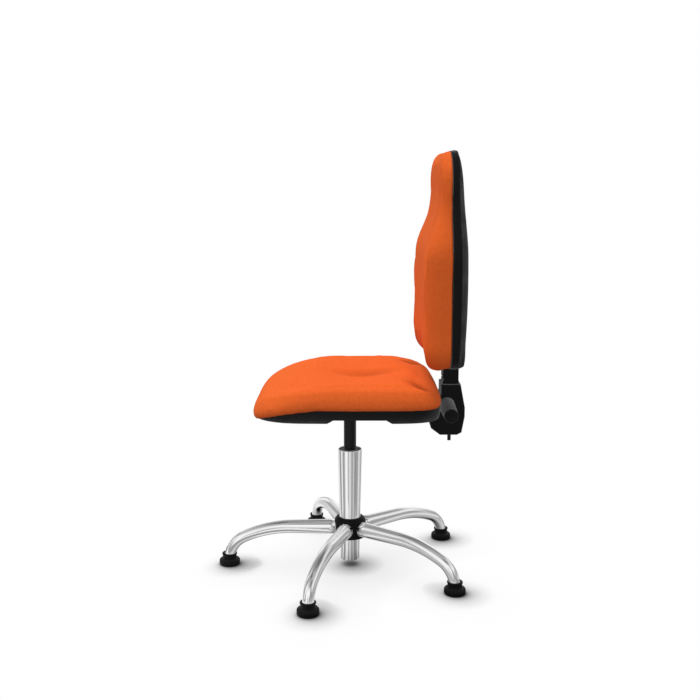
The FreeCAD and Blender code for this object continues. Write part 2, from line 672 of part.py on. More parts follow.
def build_bearing():
    """Thrust bearing on the column's floor: two rings, a cage and its balls."""
    around_tip = "Dim.rod_tip_radius + Dim.fit_gap"
    lower_top = f"({FLOOR_TOP} + Dim.race_thickness)"
    keep(flat_ring("bearing_lower_race", around_tip, "Dim.race_radius", FLOOR_TOP, lower_top))
    keep(flat_ring("bearing_upper_race", around_tip, "Dim.race_radius", BALLS_TOP, BEARING_TOP))
    middle = f"({lower_top} + Dim.ball_radius)"
    blank = flat_ring(
        "ball_cage_blank",
        "Dim.ball_circle - Dim.cage_margin",
        "Dim.ball_circle + Dim.cage_margin",
        f"{middle} - Dim.cage_thickness / 2",
        f"{middle} + Dim.cage_thickness / 2",
    )
    floor_top = size("column_bottom") + size("floor_rise") + size("floor_thickness")
    height = floor_top + size("race_thickness") + size("ball_radius")
    place = FreeCAD.Vector(size("ball_circle"), 0, height)
    ball = Part.makeSphere(size("ball_radius") - size("run_gap"), place)
    seat = Part.makeSphere(size("ball_radius") + size("run_gap"), place)
    balls = [around(ball, index, BALL_COUNT) for index in range(BALL_COUNT)]
    seats = [around(seat, index, BALL_COUNT) for index in range(BALL_COUNT)]
    keep(made("bearing_balls", Part.makeCompound(balls)))
    keep(cut("ball_cage", blank, [made("ball_seats", Part.makeCompound(seats))]))


def build_rod():
    """The piston rod that stands on the bearing, its clip, piston and rubber stop."""
    clip_top = f"({FLOOR_BOTTOM} - Dim.fit_gap)"
    clip_bottom = f"({clip_top} - Dim.clip_thickness)"
    groove = "Dim.rod_tip_radius - Dim.clip_bite"
    keep(turned("piston_rod", [
        ("0", ROD_BOTTOM),
        ("Dim.rod_tip_radius", ROD_BOTTOM),
        ("Dim.rod_tip_radius", f"{clip_bottom} - Dim.fit_gap"),
        (groove, f"{clip_bottom} - Dim.fit_gap"),
        (groove, FLOOR_BOTTOM),
        ("Dim.rod_tip_radius", FLOOR_BOTTOM),
        ("Dim.rod_tip_radius", BEARING_TOP),
        ("Dim.rod_radius", BEARING_TOP),
        ("Dim.rod_radius", "Dim.rod_top"),
        ("0", "Dim.rod_top"),
    ]))
    keep(flat_ring("rod_clip", f"{groove} + Dim.fit_gap", "Dim.clip_radius", clip_bottom, clip_top))
    piston = "Dim.gas_radius - Dim.gas_wall - Dim.run_gap"
    piston_top = "Dim.rod_top + Dim.piston_length"
    keep(turned("piston", [
        ("0", "Dim.rod_top"),
        (piston, "Dim.rod_top"),
        (piston, piston_top),
        ("0", piston_top),
    ]))
    stop_top = f"{BEARING_TOP} + Dim.bump_length"
    around_rod = "Dim.rod_radius + Dim.fit_gap"
    keep(flat_ring("bump_stop", around_rod, "Dim.bump_radius", BEARING_TOP, stop_top))


def build_gas_cylinder():
    """Pressure tube with a tapered head, its lower seal and the release button in its top."""
    bore = "Dim.gas_radius - Dim.gas_wall"
    button_bore = "Dim.button_radius + Dim.run_gap"
    head_bottom = f"({GAS_TOP} - Dim.gas_head)"
    keep(turned("gas_cylinder", [
        (bore, "Dim.gas_bottom"),
        ("Dim.gas_radius", "Dim.gas_bottom"),
        ("Dim.gas_radius", f"{GAS_TOP} - Dim.gas_taper"),
        ("Dim.gas_tip_radius", GAS_TOP),
        (button_bore, GAS_TOP),
        (button_bore, head_bottom),
        (bore, head_bottom),
    ]))
    seal_top = "Dim.gas_bottom + Dim.seal_length"
    around_rod = "Dim.rod_radius + Dim.run_gap"
    keep(flat_ring("rod_seal", around_rod, f"{bore} - Dim.fit_gap", "Dim.gas_bottom", seal_top))
    button_top = f"({GAS_TOP} + Dim.button_rise)"
    button_bottom = f"({button_top} - Dim.button_length)"
    keep(turned("release_pin", [
        ("0", button_bottom),
        ("Dim.button_radius", button_bottom),
        ("Dim.button_radius", f"{button_top} - Dim.button_bevel"),
        ("Dim.button_radius - Dim.button_bevel", button_top),
        ("0", button_top),
    ]))


# Mechanism under the seat

def build_socket():
    """Tapered socket that the gas cylinder wedges into."""
    taper = f"({GAS_TOP} - Dim.gas_taper)"
    lost = f"(Dim.gas_radius - Dim.gas_tip_radius) * ({SOCKET_BOTTOM} - {taper}) / Dim.gas_taper"
    keep(turned("cone_socket", [
        (f"Dim.gas_radius - {lost} + Dim.fit_gap", SOCKET_BOTTOM),
        ("Dim.socket_radius", SOCKET_BOTTOM),
        ("Dim.socket_radius", GAS_TOP),
        ("Dim.gas_tip_radius + Dim.fit_gap", GAS_TOP),
    ]))


def bolt_places():
    """Formulas for the four seat bolts in plan."""
    across = ("Dim.bolt_half_width", mirrored("Dim.bolt_half_width"))
    return [(x, y) for x in across for y in ("Dim.bolt_front", "Dim.bolt_rear")]


def build_plate():
    """Pressed plate that is bolted under the seat board."""
    half = "Dim.plate_half_width"
    body = padded("seat_plate", "XY_Plane", [
        (mirrored(half), "Dim.plate_front"),
        (half, "Dim.plate_front"),
        (half, "Dim.plate_rear"),
        (mirrored(half), "Dim.plate_rear"),
    ], "Dim.plate_thickness", PLATE_BOTTOM)
    rounded(body, "seat_plate_corners", "Dim.plate_corner", lambda edge: runs_along(edge, "z"))
    holes = [(x, y, "Dim.bolt_radius + Dim.fit_gap") for x, y in bolt_places()]
    holes.append(("0", "0", "Dim.plate_window"))
    pocket(body, hole_circles(body, "seat_plate_holes", "XY_Plane", holes), start=PLATE_BOTTOM)
    keep(body)


def build_arm():
    """Steel channel from under the plate back to the joint, with ears for the lever's pin."""
    nose = "Dim.arm_nose"
    floor_top = f"({ARM_BOTTOM} + Dim.arm_wall)"
    rear = f"Dim.pivot_y + {nose}"
    body = padded("seat_arm_blank", "YZ_Plane", [
        ("Dim.arm_front", ARM_BOTTOM),
        ("Dim.web_rear", ARM_BOTTOM),
        (f"Dim.pivot_y - {nose}", f"{PIVOT_Z} - {nose}"),
        (rear, f"{PIVOT_Z} - {nose}"),
        (rear, f"{PIVOT_Z} + {nose}"),
        (f"Dim.pivot_y - {nose}", f"{PIVOT_Z} + {nose}"),
        ("Dim.plate_rear", PLATE_BOTTOM),
        ("Dim.arm_front", PLATE_BOTTOM),
    ], "2 * Dim.arm_half_width", middle=True)
    end = size("pivot_y") + size("arm_nose")

    def at_nose(edge):
        return runs_along(edge, "x") and abs(edge.Vertexes[0].Y - end) < 0.01

    rounded(body, "seat_arm_nose", f"{nose} - Dim.run_gap", at_nose)
    past = "2 * Dim.arm_depth"
    channel = outline(body, "seat_arm_channel", "YZ_Plane", [
        (f"Dim.arm_front - {past}", floor_top),
        ("Dim.web_rear", floor_top),
        ("Dim.web_rear", f"{ARM_BOTTOM} - {past}"),
        (f"{rear} + {past}", f"{ARM_BOTTOM} - {past}"),
        (f"{rear} + {past}", f"{PLATE_BOTTOM} + {past}"),
        (f"Dim.arm_front - {past}", f"{PLATE_BOTTOM} + {past}"),
    ])
    pocket(body, channel, "2 * (Dim.arm_half_width - Dim.arm_wall)")
    reach = "Dim.lever_boss_radius + Dim.ear_margin"
    ear_x = (f"-Dim.lever_pivot_x - ({reach})", mirrored("Dim.arm_half_width - Dim.arm_wall / 2"))
    ear_z = (f"{LEVER_Z} - Dim.lever_pin_radius - Dim.ear_margin", PLATE_BOTTOM)
    near = "(Dim.lever_half_width + Dim.soft_gap)"
    far = f"({near} + Dim.ear_thickness)"
    ears = [
        block("lever_ear_front", ear_x, (mirrored(far), mirrored(near)), ear_z),
        block("lever_ear_rear", ear_x, (near, far), ear_z),
    ]
    whole = joined("seat_arm_whole", [body] + ears)
    wall = "(Dim.arm_half_width + Dim.arm_wall)"
    slot_z = (f"{LEVER_Z} - Dim.lever_boss_radius - Dim.soft_gap", f"{PLATE_BOTTOM} + Dim.arm_wall")
    slot_x = (mirrored(wall), mirrored("Dim.arm_half_width - 2 * Dim.arm_wall"))
    pin_ends = (f"{mirrored(far)} - Dim.arm_wall", f"{far} + Dim.arm_wall")
    tools = [
        block("lever_slot", slot_x, (mirrored(near), near), slot_z),
        round_bar("lever_pin_hole", "Dim.lever_pin_radius + Dim.fit_gap", "y", pin_ends,
                  x="-Dim.lever_pivot_x", z=LEVER_Z),
        round_bar("pivot_hole", "Dim.pivot_radius + Dim.fit_gap", "x", (mirrored(wall), wall),
                  y="Dim.pivot_y", z=PIVOT_Z),
        round_bar("socket_hole", "Dim.socket_radius + Dim.fit_gap", "z",
                  (f"{ARM_BOTTOM} - Dim.arm_wall", f"{floor_top} + Dim.arm_wall")),
    ]
    keep(cut("seat_arm", whole, tools))
    keep(round_bar("lever_pin", "Dim.lever_pin_radius", "y", (mirrored(far), far),
                   x="-Dim.lever_pivot_x", z=LEVER_Z))


def build_lever():
    """Height lever: an eye, a finger over the button, a sloping rod and a flat grip."""
    eye_ends = (mirrored("Dim.lever_half_width"), "Dim.lever_half_width")
    eye = round_bar("lever_eye", "Dim.lever_boss_radius", "y", eye_ends, x="-Dim.lever_pivot_x", z=LEVER_Z)
    finger_bottom = f"({GAS_TOP} + Dim.button_rise + Dim.fit_gap)"
    finger = block(
        "lever_finger",
        ("-Dim.lever_pivot_x - Dim.lever_rod_radius / 2", "Dim.finger_overhang"),
        (mirrored("Dim.finger_half_width"), "Dim.finger_half_width"),
        (finger_bottom, f"{finger_bottom} + Dim.finger_height"),
    )
    rod = doc.addObject("Part::Cylinder", "lever_bar")
    rod.Placement = FreeCAD.Placement(FreeCAD.Vector(), FreeCAD.Rotation(FreeCAD.Vector(0, 1, 0), -90))
    rod.setExpression("Radius", "Dim.lever_rod_radius")
    rod_length = "(Dim.lever_reach - Dim.lever_pivot_x) / cos(Dim.lever_droop)"
    rod.setExpression("Height", rod_length)
    rod.setExpression("Placement.Base.x", "-Dim.lever_pivot_x")
    rod.setExpression("Placement.Base.z", LEVER_Z)
    rod.setExpression("Placement.Rotation.Angle", "-90 - Dim.lever_droop")
    whole = joined("lever_whole", [eye, finger, rod])
    hole_ends = (f"{eye_ends[0]} - Dim.fit_gap", f"{eye_ends[1]} + Dim.fit_gap")
    eye_hole = round_bar("lever_eye_hole", "Dim.lever_pin_radius + Dim.run_gap", "y", hole_ends,
                         x="-Dim.lever_pivot_x", z=LEVER_Z)
    keep(cut("lever_rod", whole, [eye_hole]))

    held = "((Dim.grip_start + Dim.lever_reach) / 2 - Dim.lever_pivot_x)"
    grip_z = f"({LEVER_Z} - {held} * tan(Dim.lever_droop))"
    half = "Dim.grip_half_width"
    body = padded("lever_grip_blank", "XY_Plane", [
        (mirrored("Dim.grip_end"), mirrored(half)),
        (mirrored("Dim.grip_start"), f"-{half} / 2"),
        (mirrored("Dim.grip_start"), f"{half} / 2"),
        (mirrored("Dim.grip_end"), half),
    ], "Dim.grip_thickness", f"{grip_z} - Dim.grip_thickness / 2")
    rounded(body, "lever_grip_edges", "Dim.grip_round", lambda edge: True)
    hole = doc.addObject("Part::Cylinder", "lever_grip_hole")
    hole.Placement = rod.Placement
    hole.setExpression("Radius", "Dim.lever_rod_radius + Dim.fit_gap")
    hole.setExpression("Height", f"{rod_length} + Dim.fit_gap")
    hole.setExpression("Placement.Base.x", "-Dim.lever_pivot_x")
    hole.setExpression("Placement.Base.z", LEVER_Z)
    hole.setExpression("Placement.Rotation.Angle", "-90 - Dim.lever_droop")
    keep(cut("lever_grip", body, [hole]))


# Shares that shape the sections of the soft and moulded forms
SIDE_BEND_TUCK = 0.3     # of the tuck, at the bend of a cushion's lower side
SIDE_BEND_RISE = 0.4     # of the rise to the widest line, at that bend
MOST_BULGE = 0.45        # of a cushion's thickness, the highest that its widest line lies
PAN_BEND = 0.4           # of the pan's flare and depth, at the bend of its side
SHELL_SIDE = 0.45        # of the shell's depth, its straight side


# Seat

def pan_screw_places():
    """The four pan screws in plan."""
    return [(x * size("pan_screw_x"), y * size("pan_screw_y")) for x in (-1, 1) for y in (-1, 1)]


def build_board():
    """Plywood board with rounded corners, holes for the tee nuts and pilot holes for the pan screws."""
    half = "Dim.board_half_width"
    body = padded("seat_board", "XY_Plane", [
        (mirrored(half), "Dim.board_front"),
        (half, "Dim.board_front"),
        (half, "Dim.board_rear"),
        (mirrored(half), "Dim.board_rear"),
    ], "Dim.board_thickness", "Dim.plate_top")
    rounded(body, "seat_board_corners", "Dim.board_corner", lambda edge: runs_along(edge, "z"))
    holes = [(x, y, "Dim.tee_radius + Dim.fit_gap") for x, y in bolt_places()]
    for x in ("Dim.pan_screw_x", "-Dim.pan_screw_x"):
        for y in ("Dim.pan_screw_y", "-Dim.pan_screw_y"):
            holes.append((x, y, "Dim.screw_radius + Dim.fit_gap"))
    pocket(body, hole_circles(body, "seat_board_holes", "XY_Plane", holes), start="Dim.plate_top")
    sinks = [(x, y, "Dim.tee_flange_radius + Dim.fit_gap") for x, y in bolt_places()]
    sink_sketch = hole_circles(body, "seat_board_sinks", "XY_Plane", sinks)
    pocket(body, sink_sketch, "2 * (Dim.tee_flange + Dim.fit_gap)", BOARD_TOP)
    keep(body)


def hexagon(radius, low, high, x, y):
    """An upright hexagonal bar."""
    middle = FreeCAD.Vector(x, y, low)
    turns = [2 * math.pi * index / HEX_SIDES for index in range(HEX_SIDES + 1)]
    corners = [middle + FreeCAD.Vector(math.cos(turn), math.sin(turn), 0) * radius for turn in turns]
    return Part.Face(Part.makePolygon(corners)).extrude(FreeCAD.Vector(0, 0, high - low))


def build_seat_fasteners():
    """Four bolts through the plate into four tee nuts, and the screws that hold the pan."""
    gap = size("fit_gap")
    plate_top = size("plate_top")
    plate_bottom = plate_top - size("plate_thickness")
    board_top = plate_top + size("board_thickness")
    bolts = []
    nuts = []
    for x in (-size("bolt_half_width"), size("bolt_half_width")):
        for y in (size("bolt_front"), size("bolt_rear")):
            end = board_top - 2 * size("tee_flange")
            head_low = plate_bottom - size("bolt_head_height")
            head = hexagon(size("bolt_head_radius"), head_low, plate_bottom, x, y)
            bolts.append(head.fuse(stud(size("bolt_radius"), plate_bottom, end, x, y)))
            flange_low = board_top - size("tee_flange")
            flange = stud(size("tee_flange_radius"), flange_low, board_top, x, y)
            barrel = stud(size("tee_radius"), plate_top, flange_low, x, y)
            hole = stud(size("bolt_radius") + gap, plate_top, board_top, x, y)
            nuts.append(flange.fuse(barrel).cut(hole))
    keep(made("seat_bolts", Part.makeCompound(bolts)))
    keep(made("tee_nuts", Part.makeCompound(nuts)))
    screws = []
    seat = plate_top - gap - size("post_floor")
    for x, y in pan_screw_places():
        head = stud(size("screw_head_radius"), seat - size("screw_head_height"), seat, x, y)
        screws.append(head.fuse(stud(size("screw_radius"), seat, plate_top + size("screw_bite"), x, y)))
    keep(made("pan_screws", Part.makeCompound(screws)))


def padded_section(point, half, low, wide, high, tuck, roll, middle):
    """Closed outline across a cushion: flat underside, drawn-in sides, rounded shoulders and hollow."""
    slant = math.sqrt(0.5)
    right = [
        (half - tuck, low),
        (half - tuck * SIDE_BEND_TUCK, low + (wide - low) * SIDE_BEND_RISE),
        (half, wide),
        (half - roll * (1 - slant), wide + (high - wide) * slant),
        (half - roll, high),
    ]
    left = [(-across, up) for across, up in reversed(right)]
    edges = [
        Part.LineSegment(point(*left[-1]), point(*right[0])),
        Part.Arc(point(*right[0]), point(*right[1]), point(*right[2])),
        Part.Arc(point(*right[2]), point(*right[3]), point(*right[4])),
        Part.Arc(point(*right[4]), point(0, middle), point(*left[0])),
        Part.Arc(point(*left[0]), point(*left[1]), point(*left[2])),
        Part.Arc(point(*left[2]), point(*left[3]), point(*left[4])),
    ]
    return Part.Wire([edge.toShape() for edge in edges])


# Where the sections of the lofts stand, as shares of the way from the middle to an end
SEAT_STATIONS = (-0.995, -0.955, -0.86, -0.65, -0.35, 0, 0.35, 0.65, 0.86, 0.955, 0.995)


def seat_y(share):
    """Depth at a share of the way from the seat's middle to its rear, or to its front if negative."""
    middle = (size("seat_front") + size("seat_rear")) / 2
    return middle + share * (size("seat_rear") - size("seat_front")) / 2


def seat_half(share):
    """Half width of the seat's plan, a squared oval with squarer corners at the rear."""
    power = size("seat_rear_squareness" if share > 0 else "seat_squareness")
    return size("seat_half_width") * (1 - abs(share) ** power) ** (1 / power)


def seat_seam(y):
    """Height of the seam between cushion and pan, bent down at the front."""
    level = size("plate_top") + size("board_thickness") + size("soft_gap")
    along = max(0.0, size("seat_lip_start") - y) / size("seat_lip_length")
    return level - size("seat_lip_drop") * along ** 2


def seat_crest(y):
    """Height of the cushion's crest, with a long sloping front and both ends rolled over."""
    level = size("plate_top") + size("board_thickness") + size("seat_thickness")
    forward = (size("seat_front") + size("seat_front_roll") - y) / size("seat_front_roll")
    top = level - size("seat_front_drop") * max(0.0, forward) ** 2
    nose = (size("seat_front") + size("seat_nose_roll") - y) / size("seat_nose_roll")
    tail = (y - size("seat_rear") + size("seat_rear_roll")) / size("seat_rear_roll")
    roll = min(1.0, max(0.0, nose, tail))
    edge = seat_seam(y) + size("seat_bulge") / 2
    return edge + (top - edge) * math.sqrt(1 - roll ** 2)


def seat_section(share):
    """One section across the cushion."""
    y = seat_y(share)
    low = seat_seam(y)
    high = seat_crest(y)
    near = math.exp(-((y - size("seat_dish_y")) / size("seat_dish_length")) ** 2)
    dip = (size("seat_dish") + size("seat_crown")) * near ** 2 - size("seat_crown")
    wide = low + min(size("seat_bulge"), (high - low) * MOST_BULGE)
    return padded_section(
        lambda across, up: FreeCAD.Vector(across, y, up),
        seat_half(share), low, wide, high, size("seat_tuck"), size("seat_side_roll"), high - dip,
    )


def build_seat_cushion():
    """The cushion's crowned, hollowed form, recessed underneath for the board."""
    form = Part.makeLoft([seat_section(share) for share in SEAT_STATIONS], True, False)
    half = "(Dim.board_half_width + Dim.soft_gap)"
    front = "(Dim.board_front - Dim.soft_gap)"
    rear = "(Dim.board_rear + Dim.soft_gap)"
    room = padded("seat_board_room", "XY_Plane", [
        (mirrored(half), front),
        (half, front),
        (half, rear),
        (mirrored(half), rear),
    ], "2 * Dim.board_thickness + Dim.soft_gap", "Dim.plate_top - Dim.board_thickness")
    rounded(room, "seat_board_room_corners", "Dim.board_corner", lambda edge: runs_along(edge, "z"))
    keep(cut("seat_cushion", made("seat_foam", form), [room]))


def pan_section(share, wall):
    """One section across the pan: rim, flared sides and flat underside, smaller by a wall for its inside."""
    y = seat_y(share)
    rim = seat_seam(y) - size("soft_gap")
    level = size("plate_top") + size("board_thickness") - size("pan_depth")
    deep = min(level, rim - size("pan_lip"))
    half = seat_half(share) - size("pan_inset") - wall
    flare = size("pan_flare") * (rim - deep) / size("pan_depth")
    low = deep + wall
    top = rim + (size("board_thickness") if wall else 0)
    middle = (half - flare * PAN_BEND, low + (rim - low) * PAN_BEND)

    def point(across, up):
        return FreeCAD.Vector(across, y, up)

    edges = [
        Part.LineSegment(point(half - flare, low), point(flare - half, low)),
        Part.Arc(point(flare - half, low), point(-middle[0], middle[1]), point(-half, rim)),
        Part.LineSegment(point(-half, rim), point(-half, top)) if wall else None,
        Part.LineSegment(point(-half, top), point(half, top)),
        Part.LineSegment(point(half, top), point(half, rim)) if wall else None,
        Part.Arc(point(half, rim), point(*middle), point(half - flare, low)),
    ]
    return Part.Wire([edge.toShape() for edge in edges if edge])


def channel_form(rise):
    """The raised band across the pan, higher by rise for the inside of the pan."""
    bottom = size("plate_top") + size("board_thickness") - size("pan_depth")
    high = bottom + size("channel_depth") + rise
    low = bottom - size("pan_depth")
    slope = size("channel_slope")
    front = size("channel_front") - rise
    rear = size("channel_rear") + rise
    corners = [(front - slope, low), (front - slope, bottom), (front, high)]
    corners += [(rear, high), (rear + slope, bottom), (rear + slope, low)]
    width = 2 * size("seat_half_width")
    points = [FreeCAD.Vector(-width / 2, y, z) for y, z in corners + corners[:1]]
    return Part.Face(Part.makePolygon(points)).extrude(FreeCAD.Vector(width, 0, 0))


def build_seat_pan():
    """Moulded under-cover with a raised band, an opening for the mechanism and four screw posts."""
    wall = size("pan_wall")
    length = (size("seat_rear") - size("seat_front")) / 2
    inward = 1 - wall / length
    outer = Part.makeLoft([pan_section(share, 0) for share in SEAT_STATIONS], True, False)
    inner = Part.makeLoft([pan_section(share * inward, wall) for share in SEAT_STATIONS], True, False)
    bottom = size("plate_top") + size("board_thickness") - size("pan_depth")
    post_top = size("plate_top") - size("fit_gap")
    solid = outer.cut(channel_form(0))
    shell = solid.cut(inner.cut(channel_form(wall)))
    for x, y in pan_screw_places():
        shell = shell.fuse(stud(size("post_radius"), bottom, post_top, x, y))
        head = size("screw_head_radius") + size("soft_gap")
        shell = shell.cut(stud(head, bottom - wall, post_top - size("post_floor"), x, y))
        shell = shell.cut(stud(size("screw_radius") + size("fit_gap"), bottom, post_top, x, y))
    tall = 2 * size("pan_depth")
    window_x = (mirrored("Dim.opening_half_width"), "Dim.opening_half_width")
    notch_x = (mirrored("Dim.notch_half_width"), "Dim.notch_half_width")
    heights = (f"Dim.plate_top - {tall}", f"Dim.plate_top + {tall}")
    window = block("pan_window", window_x, ("Dim.opening_front", "Dim.opening_rear"), heights)
    notch = block("pan_notch", notch_x, ("0", "Dim.seat_rear"), heights)
    keep(cut("seat_pan", made("pan_whole", shell), [window, notch]))


# Back joint and arm

def build_pivot():
    """Bolt through the joint, with a friction washer on each side of the arm."""
    gap = "Dim.fit_gap"
    head_end = mirrored(f"{BRACKET_OUT} + {gap} + Dim.pivot_head")
    head_start = mirrored(f"{BRACKET_OUT} + {gap}")
    tip = "(Dim.cover_half_width + Dim.knob_gap + Dim.knob_length - Dim.knob_wall - Dim.knob_bevel)"
    shank = round_bar("pivot_shank", "Dim.pivot_radius", "x", (head_start, tip), y="Dim.pivot_y", z=PIVOT_Z)
    head = doc.addObject("Part::Prism", "pivot_bolt_head")
    head.Polygon = HEX_SIDES
    head.Placement = FreeCAD.Placement(FreeCAD.Vector(), ALONG["x"])
    head.setExpression("Circumradius", "Dim.pivot_head_radius")
    head.setExpression("Height", "Dim.pivot_head")
    head.setExpression("Placement.Base.x", head_end)
    head.setExpression("Placement.Base.y", "Dim.pivot_y")
    head.setExpression("Placement.Base.z", PIVOT_Z)
    keep(joined("pivot_bolt", [shank, head]))
    inner = f"Dim.arm_half_width + {gap}"
    outer = f"{inner} + Dim.washer_thickness"
    sides = {"left": (inner, outer), "right": (mirrored(outer), mirrored(inner))}
    discs = [
        round_bar(f"washer_{side}", "Dim.washer_radius", "x", ends, y="Dim.pivot_y", z=PIVOT_Z)
        for side, ends in sides.items()
    ]
    hole = round_bar("washer_hole", "Dim.pivot_radius + Dim.fit_gap", "x",
                     (mirrored("Dim.cover_half_width"), "Dim.cover_half_width"), y="Dim.pivot_y", z=PIVOT_Z)
    keep(cut("friction_washers", joined("washers_whole", discs), [hole]))


def build_bracket():
    """Steel bracket that turns on the bolt, the flat bar welded to it and the stop screw in its floor."""
    web_front = "(Dim.bar_front + Dim.bar_thickness)"
    rear = f"({web_front} + Dim.plate_wall)"
    body = padded("elbow_bracket_blank", "YZ_Plane", from_pivot([
        ("-Dim.bracket_front", "Dim.bracket_front / 2"),
        ("-Dim.bracket_front", "-Dim.bracket_front"),
        ("-Dim.bracket_front / 3", "-Dim.bracket_drop"),
        (rear, "-Dim.bracket_drop"),
        (rear, "Dim.bracket_rise"),
        ("0", "Dim.bracket_rise"),
    ]), f"2 * {BRACKET_OUT}", middle=True)
    past = "(2 * Dim.bracket_drop)"
    inside_floor = "(-Dim.bracket_drop + Dim.plate_wall)"
    inside = outline(body, "elbow_bracket_inside", "YZ_Plane", from_pivot([
        (mirrored(past), inside_floor),
        (web_front, inside_floor),
        (web_front, past),
        (mirrored(past), past),
    ]))
    pocket(body, inside, f"2 * {WASHER_OUT}")
    across = (mirrored("Dim.cover_half_width"), "Dim.cover_half_width")
    stop_y = "Dim.pivot_y + Dim.stop_y"
    tools = [
        round_bar("bracket_pivot_hole", "Dim.pivot_radius + Dim.run_gap", "x", across,
                  y="Dim.pivot_y", z=PIVOT_Z),
        round_bar("bracket_stop_hole", "Dim.stop_radius + Dim.fit_gap", "z",
                  (f"{PIVOT_Z} - Dim.stop_bottom", f"{PIVOT_Z} - Dim.stop_top"), y=stop_y),
    ]
    keep(cut("elbow_bracket", body, tools))
    keep(round_bar("stop_screw", "Dim.stop_radius", "z",
                   (f"{PIVOT_Z} - Dim.stop_bottom", f"{PIVOT_Z} - Dim.stop_top"), y=stop_y))

    half = "Dim.bar_half_width"
    low = f"({PIVOT_Z} + Dim.bar_start)"
    bar = padded("back_bar", "XZ_Plane", [
        (mirrored(half), low),
        (half, low),
        (half, f"{low} + Dim.bar_length"),
        (mirrored(half), f"{low} + Dim.bar_length"),
    ], "Dim.bar_thickness", mirrored(BAR_REAR))
    middle = size("plate_top") - size("pivot_drop") + size("bar_start") + size("bar_length") / 2

    def at_top(edge):
        return runs_along(edge, "y") and edge.Vertexes[0].Z > middle

    rounded(bar, "back_bar_corners", "Dim.bar_corner", at_top)
    keep(bar)


def cover_corners(wall):
    """Side view of the elbow covers, from the joint's axis, drawn in by a wall for their inside."""

    def before(alias):
        return f"{wall} - Dim.{alias}"

    def beyond(alias):
        return f"Dim.{alias} - {wall}"

    below = before
    above = beyond
    throat = f"Dim.throat_rise - {wall} / 2"
    return from_pivot([
        (before("neck_front"), above("cover_rise")),
        (before("neck_front"), throat),
        (before("cover_front"), below("brow_drop")),
        (before("cover_front"), below("chin_drop")),
        (before("jaw_front"), below("jaw_drop")),
        (before("toe_front"), below("cover_drop")),
        (beyond("heel_rear"), below("cover_drop")),
        (beyond("ankle_rear"), below("ankle_drop")),
        (beyond("cover_rear"), below("calf_drop")),
        (beyond("cover_rear"), below("nape_drop")),
        (beyond("neck_rear"), above("cover_rise")),
    ])


